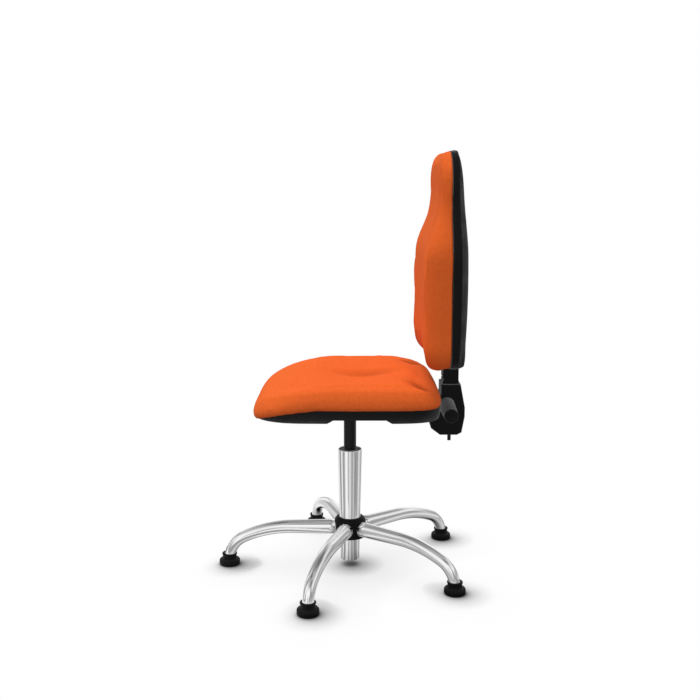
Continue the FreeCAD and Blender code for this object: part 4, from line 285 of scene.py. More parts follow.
def woven_fabric(finishes):
    """Plain-woven polyester over foam."""
    # Dyed yarn gives a matt orange with crossing threads, lighter and darker yarns and a soft sheen.
    # Real threads are about 0.7 mm apart; they are drawn coarser so that they show in a picture.
    material, tree = start_material("woven_polyester")
    place = add_node(tree, "ShaderNodeTexCoord")
    here = place.outputs["Object"]
    facing = place.outputs["Normal"]
    fleck = 7 * MM
    # At scale 1 the wave's bands lie a twentieth of a full turn apart, in metres.
    bands = 2 * math.pi / (20 * finishes.thread)
    across = {}
    for axis in "XYZ":
        across[axis] = add_node(
            tree, "ShaderNodeTexWave",
            {"Vector": here, "Scale": bands, "Distortion": 1.2, "Detail": 1, "Detail Scale": 2},
            bands_direction=axis,
        ).outputs[1]
    crossings = []
    for first, second in ("YZ", "XZ", "XY"):
        pair = {0: across[first], 1: across[second]}
        crossings.append(add_node(tree, "ShaderNodeMath", pair, operation="MULTIPLY").outputs[0])
    weights = add_node(tree, "ShaderNodeVectorMath", {0: facing, 1: facing}, operation="MULTIPLY")
    planes = add_node(tree, "ShaderNodeCombineXYZ", dict(enumerate(crossings)))
    weave = add_node(
        tree, "ShaderNodeVectorMath", {0: planes.outputs[0], 1: weights.outputs[0]}, operation="DOT_PRODUCT"
    ).outputs["Value"]
    yarn = add_node(
        tree, "ShaderNodeTexNoise", {"Vector": here, "Scale": 1 / fleck, "Detail": 4, "Roughness": 0.65}
    ).outputs[0]
    mixed = add_node(
        tree, "ShaderNodeMath", {0: weave, 1: 0.3, 2: yarn}, operation="MULTIPLY_ADD"
    ).outputs[0]
    toned = add_node(
        tree, "ShaderNodeMapRange", {"Value": mixed, "From Min": 0.3, "From Max": 0.9}
    ).outputs[0]
    dyed = add_node(
        tree, "ShaderNodeMix", {0: toned, 6: finishes.fabric_dark, 7: finishes.fabric_light},
        data_type="RGBA",
    ).outputs[2]
    # Painted shade: by a share set on each point of the cushions, the orange is multiplied towards a shade
    # tint in the creases, along the edge that turns under and in a streak in the hollow.
    painted_shade = add_node(tree, "ShaderNodeAttribute", attribute_name="painted_shade").outputs["Fac"]
    shaded_colour = add_node(
        tree, "ShaderNodeMix", {0: painted_shade, 6: dyed, 7: finishes.fabric_painted_shade},
        data_type="RGBA", blend_type="MULTIPLY",
    ).outputs[2]
    bump = add_node(tree, "ShaderNodeBump", {"Strength": 0.2, "Distance": 0.5 * MM, "Height": mixed})
    close_material(tree, {
        "Base Color": shaded_colour,
        "Roughness": 0.95,
        "Specular IOR Level": 0.08,
        "Sheen Weight": 0.06,
        "Sheen Roughness": 0.5,
        "Sheen Tint": linear("#FF8A50"),
        "Normal": bump.outputs["Normal"],
    })
    return material


def moulded_plastic(name, base, grain, low, high):
    """Injection-moulded plastic or rubber with the grain of a spark-eroded mould."""
    # The grain of the mould gives a matt black that turns grey where light grazes it.
    # Real grain is about 0.5 mm; it is drawn coarser so that it shows.
    material, tree = start_material(name)
    patch = 35 * MM
    lighter = 1.25
    place = add_node(tree, "ShaderNodeTexCoord").outputs["Object"]
    pits = add_node(tree, "ShaderNodeTexVoronoi", {"Vector": place, "Scale": 1 / grain}).outputs[0]
    cloud, rough = uneven_gloss(tree, place, patch, low, high, {"Detail": 5, "Roughness": 0.6})
    worn = add_node(
        tree, "ShaderNodeMix",
        {0: cloud, 6: base, 7: (*(lighter * part for part in base[:3]), 1)}, data_type="RGBA",
    ).outputs[2]
    bump = add_node(tree, "ShaderNodeBump", {"Strength": 0.2, "Distance": 0.2 * MM, "Height": pits})
    close_material(tree, {
        "Base Color": worn,
        "Roughness": rough,
        "Specular IOR Level": 0.11,
        "Normal": bump.outputs["Normal"],
    })
    return material


def chromed_tube(finishes):
    """Bright chrome over polished steel tube."""
    # Polishing leaves a clear mirror, slightly wavy and hazy, and the tube's bends break it into streaks.
    material, tree = start_material("bright_chrome")
    haze_patch = 18 * MM
    wave_length = 45 * MM
    place = add_node(tree, "ShaderNodeTexCoord").outputs["Object"]
    _, rough = uneven_gloss(tree, place, haze_patch, 0.13, 0.19, {"Detail": 4, "Roughness": 0.6})
    waves = add_node(
        tree, "ShaderNodeTexNoise", {"Vector": place, "Scale": 1 / wave_length, "Detail": 1}
    ).outputs[0]
    bump = add_node(tree, "ShaderNodeBump", {"Strength": 0.15, "Distance": 1.2 * MM, "Height": waves})
    close_material(tree, {
        "Base Color": finishes.plating,
        "Metallic": 1,
        "Roughness": rough,
        "Normal": bump.outputs["Normal"],
    })
    return material


def painted_steel(finishes):
    """Steel with a stoved satin black paint."""
    # Stoved paint is smooth with a faint orange peel and a broad, soft highlight.
    material, tree = start_material("satin_black_paint")
    peel_size = 3 * MM
    place = add_node(tree, "ShaderNodeTexCoord").outputs["Object"]
    peel, rough = uneven_gloss(tree, place, peel_size, 0.32, 0.45, {"Detail": 2})
    bump = add_node(tree, "ShaderNodeBump", {"Strength": 0.15, "Distance": 0.15 * MM, "Height": peel})
    close_material(tree, {
        "Base Color": finishes.paint,
        "Roughness": rough,
        "Specular IOR Level": 0.25,
        "Normal": bump.outputs["Normal"],
    })
    return material


def plated_metal(name, base, low, high):
    """Rolled or turned metal with a thin plated finish."""
    # Rolling and turning leave short fine scratches, which spread the highlight along them.
    material, tree = start_material(name)
    scratch = 1.2 * MM
    place = add_node(tree, "ShaderNodeTexCoord").outputs["Object"]
    drawn = add_node(tree, "ShaderNodeMapping", {"Vector": place, "Scale": (1, 0.08, 1)}).outputs[0]
    lines, rough = uneven_gloss(tree, drawn, scratch, low, high, {"Detail": 4, "Roughness": 0.7})
    bump = add_node(tree, "ShaderNodeBump", {"Strength": 0.12, "Distance": 0.1 * MM, "Height": lines})
    close_material(tree, {
        "Base Color": base,
        "Metallic": 1,
        "Roughness": rough,
        "Normal": bump.outputs["Normal"],
    })
    return material


def birch_plywood(finishes):
    """Rotary-cut birch plywood, unsealed."""
    # The peeled veneer shows long wavy bands of paler and darker wood along the grain.
    material, tree = start_material("birch_plywood")
    band = 9 * MM
    place = add_node(tree, "ShaderNodeTexCoord").outputs["Object"]
    drawn = add_node(tree, "ShaderNodeMapping", {"Vector": place, "Scale": (1, 0.12, 1)}).outputs[0]
    grain = add_node(
        tree, "ShaderNodeTexNoise", {"Vector": drawn, "Scale": 1 / band, "Detail": 5, "Distortion": 0.6}
    ).outputs[0]
    wood = add_node(
        tree, "ShaderNodeMix", {0: grain, 6: finishes.ply_dark, 7: finishes.ply_light}, data_type="RGBA"
    ).outputs[2]
    bump = add_node(tree, "ShaderNodeBump", {"Strength": 0.2, "Distance": 0.2 * MM, "Height": grain})
    close_material(tree, {"Base Color": wood, "Roughness": 0.7, "Normal": bump.outputs["Normal"]})
    return material


def make_finish(slot):
    """The material of one of the record's slots, made when it is first asked for."""
    finishes = bpy.context.scene.chair_finishes
    if slot == "orange_fabric":
        return woven_fabric(finishes)
    if slot == "black_plastic":
        return moulded_plastic("black_polypropylene", finishes.moulding, grain=1.6 * MM, low=0.42, high=0.6)
    if slot == "inner_plastic":
        return moulded_plastic("black_nylon", finishes.inner, grain=1.2 * MM, low=0.35, high=0.5)
    if slot == "rubber":
        return moulded_plastic("black_rubber", finishes.rubber, grain=2 * MM, low=0.75, high=0.9)
    if slot == "chrome":
        return chromed_tube(finishes)
    if slot == "black_steel":
        return painted_steel(finishes)
    if slot == "steel":
        return plated_metal("zinc_plated_steel", finishes.zinc, low=0.28, high=0.45)
    if slot == "brass":
        return plated_metal("turned_brass", finishes.brass, low=0.2, high=0.35)
    if slot == "plywood":
        return birch_plywood(finishes)
    raise ValueError(f"no finish for the slot {slot}")


made_finishes = {}


def finish_of(slot):
    """One shared material for each slot."""
    if slot not in made_finishes:
        made_finishes[slot] = make_finish(slot)
    return made_finishes[slot]


# Forms

def add_piece(name, bm, slot, body, *nodes, sharp=SHARP_TURN):
    """Turn a finished form into a piece that rides on a body and stands for its nodes."""
    for face in bm.faces:
        face.smooth = True
    mesh = bpy.data.meshes.new(name)
    bm.to_mesh(mesh)
    bm.free()
    mesh.set_sharp_from_angle(angle=math.radians(sharp))
    mesh.materials.append(finish_of(slot))
    piece = bpy.data.objects.new(name, mesh)
    bpy.context.scene.collection.objects.link(piece)
    piece.visible_glossy = slot == "chrome"
    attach(piece, body)
    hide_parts(*nodes)
    return piece


def baked_mesh(piece):
    """The piece's mesh with its modifiers applied."""
    depsgraph = bpy.context.evaluated_depsgraph_get()
    return bpy.data.meshes.new_from_object(piece.evaluated_get(depsgraph))


def carve(piece, tool, operation):
    """Join a tool's form to a piece, or cut it out of the piece, and keep the result."""
    mesh = bpy.data.meshes.new("tool")
    tool.to_mesh(mesh)
    tool.free()
    holder = bpy.data.objects.new("tool", mesh)
    bpy.context.scene.collection.objects.link(holder)
    carving = piece.modifiers.new("carving", "BOOLEAN")
    carving.operation = operation
    carving.solver = "EXACT"
    carving.object = holder
    piece.data = baked_mesh(piece)
    piece.modifiers.clear()
    bpy.data.objects.remove(holder)
    bpy.data.meshes.remove(mesh)
    bm = bmesh.new()
    bm.from_mesh(piece.data)
    bmesh.ops.remove_doubles(bm, verts=bm.verts, dist=MERGE_GAP)
    bm.to_mesh(piece.data)
    bm.free()


def add_wall(piece, thickness):
    """Thicken a piece's outer skin inwards."""
    wall = piece.modifiers.new("wall", "SOLIDIFY")
    wall.thickness = thickness
    wall.offset = -1


def turn_form(bm, angle, axis):
    """Turn a whole form about an axis through the origin."""
    bmesh.ops.rotate(bm, verts=bm.verts, cent=(0, 0, 0), matrix=Matrix.Rotation(angle, 3, axis))


def spun(profile, closed=False, steps=72):
    """A form turned about Z from radius and height points; an open profile starts and ends on the axis."""
    bm = bmesh.new()
    verts = [bm.verts.new((radius, 0, height)) for radius, height in profile]
    ends = verts[1:] + verts[:1] if closed else verts[1:]
    edges = [bm.edges.new(pair) for pair in zip(verts, ends)]
    bmesh.ops.spin(
        bm, geom=verts + edges, cent=(0, 0, 0), axis=(0, 0, 1), angle=2 * math.pi, steps=steps,
        use_merge=True,
    )
    bmesh.ops.remove_doubles(bm, verts=bm.verts, dist=FINE_GAP)
    bmesh.ops.recalc_face_normals(bm, faces=bm.faces)
    return bm


def soften_edges(bm, width, segments=3, angle=30):
    """Bevel the edges that turn by more than an angle."""
    limit = math.radians(angle)
    edges = [edge for edge in bm.edges if edge.is_manifold and edge.calc_face_angle(0) > limit]
    bmesh.ops.bevel(
        bm, geom=edges, offset=width, segments=segments, profile=0.5, affect="EDGES", material=-1,
        clamp_overlap=True,
    )


def arc(middle, radii, start, end, steps):
    """Points on an oval arc, as radius and height; angles in degrees."""
    turns = [math.radians(start + (end - start) * step / steps) for step in range(steps + 1)]
    return [(middle[0] + radii[0] * math.cos(a), middle[1] + radii[1] * math.sin(a)) for a in turns]


def next_ring(bm, edges):
    """Extrude a ring of edges in place; returns the new verts and edges."""
    made = bmesh.ops.extrude_edge_only(bm, edges=edges)["geom"]
    verts = [item for item in made if isinstance(item, bmesh.types.BMVert)]
    fresh = set(verts)
    ring = [item for item in made if isinstance(item, bmesh.types.BMEdge) and fresh.issuperset(item.verts)]
    return verts, ring


def smooth_step(value):
    """0 below 0, 1 above 1, with a smooth rise between."""
    inside = min(1.0, max(0.0, value))
    return inside * inside * (3 - 2 * inside)


def bell(value, width):
    """1 in the middle, falling smoothly to 0 over about twice the width."""
    return math.exp(-(value / width) ** 2)


# Padded pieces

# How squarely the cover faces what it rests on where it is held
HELD_FACING = 0.4
# Which slice of the noise makes the seat's unevenness
WAVE_SEED = 4.2
# Share of the seat's outline beyond which its lower edge is rounded over
SEAM_START = 0.9


def padded_copy(name, node, held):
    """The node's solid as foam under a cover: remeshed, shrunk and blown up, with the held part kept."""
    soft = bpy.context.scene.chair_soft
    bm = bmesh.new()
    bm.from_mesh(frame["nodes"][node].data)
    bmesh.ops.remove_doubles(bm, verts=bm.verts, dist=MERGE_GAP)
    bmesh.ops.recalc_face_normals(bm, faces=bm.faces)
    mesh = bpy.data.meshes.new(name)
    bm.to_mesh(mesh)
    bm.free()
    piece = bpy.data.objects.new(name, mesh)
    bpy.context.scene.collection.objects.link(piece)
    remesh = piece.modifiers.new("even_mesh", "REMESH")
    remesh.mode = "VOXEL"
    remesh.voxel_size = soft.voxel
    piece.data = baked_mesh(piece)
    piece.modifiers.clear()
    even_out(piece, rounds=6)
    mesh = piece.data
    normals = [vertex.normal.copy() for vertex in mesh.vertices]
    kept = [held(vertex.co, normal) for vertex, normal in zip(mesh.vertices, normals)]
    for vertex, normal, stays in zip(mesh.vertices, normals, kept):
        vertex.co -= normal * (0 if stays else soft.shrink)
    swell(piece, [index for index, stays in enumerate(kept) if stays], soft)
    even_out(piece, rounds=2)
    return piece


def swell(piece, pinned, soft):
    """Blow the piece up as cloth and keep the result, no further from its start than the swell allows."""
    scene = bpy.context.scene
    frames = 20
    group = piece.vertex_groups.new(name="held")
    group.add(pinned, 1.0, "REPLACE")
    cloth = piece.modifiers.new("air", "CLOTH")
    settings = cloth.settings
    settings.quality = 5
    settings.mass = 0.3
    settings.tension_stiffness = 15
    settings.compression_stiffness = 15
    settings.shear_stiffness = 8
    settings.bending_stiffness = 0.5
    settings.use_pressure = True
    settings.uniform_pressure_force = soft.pressure
    settings.vertex_group_mass = "held"
    settings.effector_weights.gravity = 0
    cloth.collision_settings.use_collision = False
    cloth.point_cache.frame_start = 1
    cloth.point_cache.frame_end = frames
    for number in range(1, frames + 1):
        scene.frame_set(number)
    blown = baked_mesh(piece)
    normals = [vertex.normal.copy() for vertex in piece.data.vertices]
    for vertex, moved, normal in zip(piece.data.vertices, blown.vertices, normals):
        step = moved.co - vertex.co
        most = soft.swell if step.dot(normal) > 0 else soft.settle
        if step.length > most:
            step *= most / step.length
        vertex.co += step
    bpy.data.meshes.remove(blown)
    piece.modifiers.clear()
    piece.vertex_groups.clear()
    scene.frame_set(1)


def smooth_round(bm, verts, factor):
    """Move points towards the middle of their neighbours, or away from it with a factor below 0."""
    bmesh.ops.smooth_vert(bm, verts=verts, factor=factor, use_axis_x=True, use_axis_y=True, use_axis_z=True)


def round_seam(piece, near_seam, rounds):
    """Round over the edge along a seam, where the remesh leaves steps."""
    bm = bmesh.new()
    bm.from_mesh(piece.data)
    verts = [vertex for vertex in bm.verts if near_seam(vertex.co)]
    for _ in range(rounds):
        smooth_round(bm, verts, 0.5)
    bm.to_mesh(piece.data)
    bm.free()
    piece.data.update()


def even_out(piece, rounds):
    """Smooth away the steps of the remesh; each round is drawn back out so that the form keeps its size."""
    bm = bmesh.new()
    bm.from_mesh(piece.data)
    for _ in range(rounds):
        smooth_round(bm, bm.verts, 0.5)
        smooth_round(bm, bm.verts, -0.52)
    bm.to_mesh(piece.data)
    bm.free()
    piece.data.update()


def finish_padding(piece, body, node, painted_shades):
    # Store each point's share of painted shade, which darkens the fabric towards its shade tint.
    layer = piece.data.attributes.new("painted_shade", "FLOAT", "POINT")
    layer.data.foreach_set("value", painted_shades)
    for polygon in piece.data.polygons:
        polygon.use_smooth = True
    piece.data.materials.clear()
    piece.data.materials.append(finish_of("orange_fabric"))
    fine = piece.modifiers.new("fine_mesh", "SUBSURF")
    fine.levels = 1
    fine.render_levels = 1
    piece.visible_glossy = False
    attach(piece, body)
    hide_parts(node)


class SeatCover:
    """How the seat's cover departs from plain padding: dish, creases, raised sides and hanging edge."""

    def __init__(self, seat):
        first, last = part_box("seat_cushion")
        self.seat = seat
        self.middle = (first + last) / 2
        self.half = (last - first) / 2
        self.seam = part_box("seat_board")[1].z

    def rim_share(self, spot):
        """0 in the middle of the seat, 1 on its outline."""
        power = self.seat.front_square if spot.y < self.middle.y else self.seat.rear_square
        across = abs(spot.x - self.middle.x) / self.half.x
        along = abs(spot.y - self.middle.y) / self.half.y
        return (across ** power + along ** power) ** (1 / power)

    def above_seam(self, spot):
        """Height above the seam, which bends down at the front."""
        bent = max(0.0, self.seat.lip_start - spot.y) / self.seat.lip_length
        return spot.z - self.seam + self.seat.lip_drop * bent ** 2

    def near_seam(self, spot):
        """Whether a point lies on the lower edge."""
        return self.rim_share(spot) > SEAM_START and self.above_seam(spot) < self.seat.tuck_height

    def crease(self, spot):
        """Share of a crease's depth near a rear corner, towards which the cover is drawn."""
        across = abs(spot.x) - self.seat.crease_x
        along = spot.y - self.seat.crease_y
        way = Vector((math.cos(self.seat.crease_turn), math.sin(self.seat.crease_turn)))
        far = across * way.x + along * way.y
        off = along * way.x - across * way.y
        return bell(far, self.seat.crease_length) * bell(off, self.seat.crease_width)

    def sunk(self, spot):
        """How far the top lies below the plain padding."""
        seat = self.seat
        along = spot.y - seat.dish_y
        dish = bell(spot.x - seat.dish_x, seat.dish_width) * bell(along, seat.dish_length)
        side = smooth_step((abs(spot.x) - seat.bolster_start) / seat.bolster_width)
        raised = seat.bolster * side * bell(along, seat.bolster_length)
        place = Vector((spot.x / seat.wave_length, spot.y / seat.wave_length, WAVE_SEED))
        wave = seat.wave * noise.noise(place)
        return seat.dish * dish + seat.dimple * self.crease(spot) - raised + wave

    def hang(self, spot):
        """How far the lower edge stands out and hangs over the pan's rim."""
        seat = self.seat
        edge = smooth_step((self.rim_share(spot) - seat.edge_start) / seat.edge_width)
        edge *= 1 - smooth_step(self.above_seam(spot) / seat.hang_height)
        front = smooth_step((seat.nose_start - spot.y) / seat.nose_length)
        away = spot - self.middle
        way = Vector((away.x / self.half.x ** 2, away.y / self.half.y ** 2, 0)).normalized()
        tucked = seat.tuck + (1 - seat.tuck) * smooth_step(self.above_seam(spot) / seat.tuck_height)
        return edge * (way * tucked * (seat.overhang + front * seat.nose) - Vector((0, 0, seat.droop)))

    def painted_shade(self, spot):
        """How much painted shade darkens the cover: a streak in the dish, the creases and the edge that
        turns under.
        """
        seat = self.seat
        streak = bell(spot.x - seat.streak_x, seat.streak_width)
        streak *= bell(spot.y - seat.streak_y, seat.streak_length)
        turned = 1 - smooth_step(self.above_seam(spot) / seat.edge_shade_height)
        # Share of painted shade at this point.
        closed = seat.streak_painted_shade * streak + seat.crease_painted_shade * self.crease(spot) + seat.edge_painted_shade * turned
        return min(1.0, closed)


class CHAIR_OT_seat_cushion(bpy.types.Operator):
    """Build the upholstered seat cushion"""
    bl_idname = "chair.seat_cushion"
    bl_label = "Seat cushion"

    def execute(self, context):
        soft = context.scene.chair_soft
        cover = SeatCover(context.scene.chair_seat)
        low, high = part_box("seat_board")
        room = soft.board_room

        def held(spot, normal):
            """The underside and the recess round the board."""
            within = low.x - room < spot.x < high.x + room and low.y - room < spot.y < high.y + room
            return normal.z < -HELD_FACING or (within and spot.z < high.z + soft.board_depth)

        piece = padded_copy("seat_upholstery", "seat_cushion", held)
        round_seam(piece, cover.near_seam, rounds=4)
        painted_shades = []
        for vertex in piece.data.vertices:
            # Each point's share of painted shade, which the fabric reads to darken its colour.
            painted_shades.append(cover.painted_shade(vertex.co))
            dent = Vector((0, 0, max(0.0, vertex.normal.z) * cover.sunk(vertex.co)))
            vertex.co += cover.hang(vertex.co) - dent
        round_seam(piece, cover.near_seam, rounds=12)
        finish_padding(piece, "seat", "seat_cushion", painted_shades)
        return {"FINISHED"}


class CHAIR_OT_back_cushion(bpy.types.Operator):
    """Build the upholstered back cushion"""
    bl_idname = "chair.back_cushion"
    bl_label = "Back cushion"

    def execute(self, context):
        soft = context.scene.chair_soft
        back = context.scene.chair_back
        low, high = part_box("back_board")
        room = soft.board_room

        def held(spot, normal):
            """The rear and the recess round the board."""
            within = low.x - room < spot.x < high.x + room and low.z - room < spot.z < high.z + room
            return normal.y > HELD_FACING or (within and spot.y > low.y - soft.board_depth)

        piece = padded_copy("back_upholstery", "back_cushion", held)
        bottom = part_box("back_cushion")[0].z
        hang = back.droop * Vector((0, -back.droop_lean, -1))
        painted_shades = []
        for vertex in piece.data.vertices:
            lowest = 1 - smooth_step((vertex.co.z - bottom) / back.droop_height)
            ahead = smooth_step((low.y - vertex.co.y) / back.droop_depth)
            # Painted shade along the lower edge, where it hangs.
            painted_shades.append(back.painted_shade * lowest)
            vertex.co += lowest * ahead * hang
        finish_padding(piece, "backrest", "back_cushion", painted_shades)
        return {"FINISHED"}


# Back shell

# Corners of the parting groove: inset from the rim's outline and distance past the side's rear edge
GROOVE = (
    (0, -1.8 * MM), (0.3 * MM, -0.9 * MM), (1.3 * MM, -0.6 * MM), (1.3 * MM, 0.5 * MM), (0.7 * MM, 0.9 * MM),
)
# Rings of the sloped border, from the side to the rear
SLOPE_RINGS = (0.05, 0.2, 0.4, 0.6, 0.8, 0.93)
# Rings of the crowned rear, from the border to the middle
REAR_RINGS = (1, 0.97, 0.88, 0.72, 0.54, 0.36, 0.18, 0)
# Points round the rim, and halvings that find where each of them lies
RIM_POINTS = 160
RIM_HALVINGS = 30


def shell_depth(shell, rise):
    """Depth of the shell at a rise above its bottom."""
    return shell.depth - shell.loss * ((rise - shell.middle) / shell.reach) ** 2


def shell_half(shell, rise, height):
    """Half width of the shell at a rise above its bottom, with round corners at both ends."""
    upper = smooth_step((rise - shell.step_rise) / shell.step_length)
    half = shell.low_half + (shell.high_half - shell.low_half) * upper
    for corner, inside in ((shell.low_corner, rise), (shell.high_corner, height - rise)):
        missing = min(corner, max(0.0, corner - inside))
        half -= corner - math.sqrt(corner ** 2 - missing ** 2)
    return half


def shell_outline(shell, height, count):
    """Points round the shell's rim, as across and rise, where rays from its middle leave it."""
    points = []
    for index in range(count):
        angle = 2 * math.pi * index / count
        near = 0.0
        far = height
        for _ in range(RIM_HALVINGS):
            reach = (near + far) / 2
            rise = height / 2 + reach * math.sin(angle)
            inside = 0 < rise < height and abs(reach * math.cos(angle)) < shell_half(shell, rise, height)
            near = reach if inside else near
            far = far if inside else reach
        points.append(Vector((near * math.cos(angle), height / 2 + near * math.sin(angle))))
    return points


def outward_ways(points):
    """The outward direction at each point of a ring."""
    ways = []
    for index in range(len(points)):
        along = points[(index + 1) % len(points)] - points[index - 1]
        ways.append(Vector((along.y, -along.x)).normalized())
    return ways


def shell_rings(shell, bottom, height):
    """One function for each ring of the skin, from the rim to the rear's middle, that places its points."""
    points = shell_outline(shell, height, RIM_POINTS)
    ways = outward_ways(points)
    middle = Vector((0, height / 2))

    def placed(spot, back):
        along = max(0.0, spot.y - shell.lean_rise) / (height - shell.lean_rise)
        return Vector((spot.x, shell.seam + shell.lean * along ** 2 + back, bottom + spot.y))

    def on_rim(index):
        return placed(points[index], 0)

    def on_side(index, inset, past):
        """On the straight side, inset from the rim's outline, past or short of the side's rear edge."""
        spot = points[index] - ways[index] * inset
        return placed(spot, shell_depth(shell, spot.y) * shell.side + past)

    def border(index):
        """Width of the sloped border: broad at the sides, only a rounding at the ends."""
        way = ways[index]
        bevel = shell.bevel * shell_depth(shell, points[index].y) / shell.depth
        end = shell.top_end if way.y > 0 else shell.low_end
        return bevel * way.x ** 2 + end * way.y ** 2

    def on_slope(index, part):
        """On the sloped border, from 0 at the side's rear edge to 1 at the crowned rear."""
        spot = points[index] - ways[index] * part * border(index)
        deep = shell_depth(shell, spot.y)
        bulge = 1 - (1 - part) ** shell.bulge
        return placed(spot, deep * shell.side + (deep - shell.crown - deep * shell.side) * bulge)

    def on_rear(index, grow):
        """On the crowned rear, from 1 at the border to 0 in the middle."""
        edge = points[index] - ways[index] * border(index)
        spot = middle + (edge - middle) * grow
        return placed(spot, shell_depth(shell, spot.y) - shell.crown * grow ** 2)

    rings = [on_rim]
    rings += [partial(on_side, inset=inset, past=past) for inset, past in GROOVE]
    rings += [partial(on_slope, part=part) for part in SLOPE_RINGS]
    rings += [partial(on_rear, grow=grow) for grow in REAR_RINGS]
    return rings


def cut_slot(bm, shell, slot_top):
    """Open the slot for the bar at the shell's lower end."""
    cuts = (
        ((shell.slot_half, 0, 0), (1, 0, 0)),
        ((-shell.slot_half, 0, 0), (1, 0, 0)),
        ((0, 0, slot_top), (0, 0, 1)),
    )
    for spot, way in cuts:
        near = [face for face in bm.faces if face.calc_center_median().z < slot_top + shell.slot_height]
        edges = list(dict.fromkeys(edge for face in near for edge in face.edges))
        verts = list(dict.fromkeys(vertex for face in near for vertex in face.verts))
        bmesh.ops.bisect_plane(bm, geom=near + edges + verts, dist=FINE_GAP, plane_co=spot, plane_no=way)
    centres = {face: face.calc_center_median() for face in bm.faces}
    slot = [face for face, spot in centres.items() if abs(spot.x) < shell.slot_half and spot.z < slot_top]
    bmesh.ops.delete(bm, geom=slot, context="FACES")


def shell_form(shell, bottom, height):
    """The shell's outer skin: rim, side, parting groove, sloped border, crowned rear and the bar's slot."""
    bm = bmesh.new()
    number = bm.verts.layers.int.new("number")
    verts = bmesh.ops.create_circle(bm, cap_ends=False, radius=height, segments=RIM_POINTS)["verts"]
    for index, vertex in enumerate(verts):
        vertex[number] = index
    edges = list(bm.edges)
    for step, ring in enumerate(shell_rings(shell, bottom, height)):
        if step:
            verts, edges = next_ring(bm, edges)
        for vertex in verts:
            vertex.co = ring(vertex[number])
    bmesh.ops.remove_doubles(bm, verts=bm.verts, dist=MERGE_GAP)
    bmesh.ops.recalc_face_normals(bm, faces=bm.faces)
    if sum(face.normal.y * face.calc_area() for face in bm.faces) < 0:
        bmesh.ops.reverse_faces(bm, faces=bm.faces)
    cut_slot(bm, shell, bottom + shell.slot_height)
    return bm


def along_y(profile, spot, steps=32):
    """A form turned about Y from radius and depth points, at a place across and up."""
    bm = spun(profile, steps=steps)
    turn_form(bm, -math.pi / 2, "X")
    bmesh.ops.translate(bm, verts=bm.verts, vec=(spot[0], 0, spot[1]))
    return bm


class CHAIR_OT_back_shell(bpy.types.Operator):
    """Build the moulded rear shell with its screw posts and the slot for the bar"""
    bl_idname = "chair.back_shell"
    bl_label = "Back shell"

    def execute(self, context):
        shell = context.scene.chair_shell
        low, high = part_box("back_shell")
        bm = shell_form(shell, low.z, high.z - low.z)
        piece = add_piece("rear_shell", bm, "black_plastic", "backrest", "back_shell")
        add_wall(piece, shell.wall)
        piece.data = baked_mesh(piece)
        piece.modifiers.clear()
        screws = [
            (side * shell.screw_x, height)
            for side in (-1, 1) for height in (low.z + shell.screw_low, high.z - shell.screw_high)
        ]
        for spot in screws:
            deep = shell_depth(shell, spot[1] - low.z)
            end = shell.seam + deep - shell.crown - shell.post_gap
            post = [(0, low.y), (shell.post, low.y), (shell.post, end), (0, end)]
            carve(piece, along_y(post, spot), "UNION")
        front = low.y - shell.head_seat
        seat = low.y + shell.head_seat
        far = high.y + shell.depth
        hole = [(0, front), (shell.screw_hole, front), (shell.screw_hole, seat)]
        hole += [(shell.head_hole, seat), (shell.head_hole, far), (0, far)]
        for spot in screws:
            carve(piece, along_y(hole, spot), "DIFFERENCE")
        piece.data.set_sharp_from_angle(angle=math.radians(SHARP_TURN))
        return {"FINISHED"}


# Base

def leg_form(base):
    """One tapered tube out along X: a level run and two bends that end upright over its glide."""
    upright = math.pi / 2
    second = base.leg_height - base.bend_radius * (1 - math.cos(base.bend_angle)) - base.leg_end
    second /= math.cos(base.bend_angle)
    bend_x = base.foot_circle - base.bend_radius * math.sin(base.bend_angle)
    bend_x -= second * (1 - math.sin(base.bend_angle))
    run = bend_x - base.leg_start
    whole = run + base.bend_radius * base.bend_angle + second * (upright - base.bend_angle)
    sides = 48
    run_steps = 6
    first_steps = 14
    second_steps = 16
    bm = bmesh.new()
    ring = bmesh.ops.create_circle(bm, cap_ends=False, radius=base.root_radius, segments=sides)["verts"]
    turn_form(bm, upright, "Y")
    bmesh.ops.translate(bm, verts=ring, vec=(base.leg_start, 0, base.leg_height))
    edges = list(bm.edges)
    radius = base.root_radius
    gone = 0.0

    def taper(verts):
        nonlocal radius
        wanted = base.root_radius + (base.tip_radius - base.root_radius) * gone / whole
        middle = sum((vertex.co for vertex in verts), Vector()) / len(verts)
        grow = wanted / radius
        bmesh.ops.scale(bm, verts=verts, vec=(grow, grow, grow), space=Matrix.Translation(-middle))
        radius = wanted

    for _ in range(run_steps):
        verts, edges = next_ring(bm, edges)
        bmesh.ops.translate(bm, verts=verts, vec=(run / run_steps, 0, 0))
        gone += run / run_steps
        taper(verts)
    first_middle = Vector((bend_x, 0, base.leg_height - base.bend_radius))
    second_middle = Vector((base.foot_circle - second, 0, base.leg_end))
    bends = (
        (first_middle, base.bend_radius, base.bend_angle, first_steps),
        (second_middle, second, upright - base.bend_angle, second_steps),
    )
    for middle, reach, angle, steps in bends:
        part = Matrix.Rotation(angle / steps, 3, "Y")
        for _ in range(steps):
            verts, edges = next_ring(bm, edges)
            bmesh.ops.rotate(bm, verts=verts, cent=middle, matrix=part)
            gone += reach * angle / steps
            taper(verts)
    bmesh.ops.recalc_face_normals(bm, faces=bm.faces)
    return bm


def around(bm, index):
    """Turn a form from X to its place in the ring of legs."""
    angle = FIRST_LEG_ANGLE + 2 * math.pi * index / len(LEG_NAMES)
    turn_form(bm, angle, "Z")


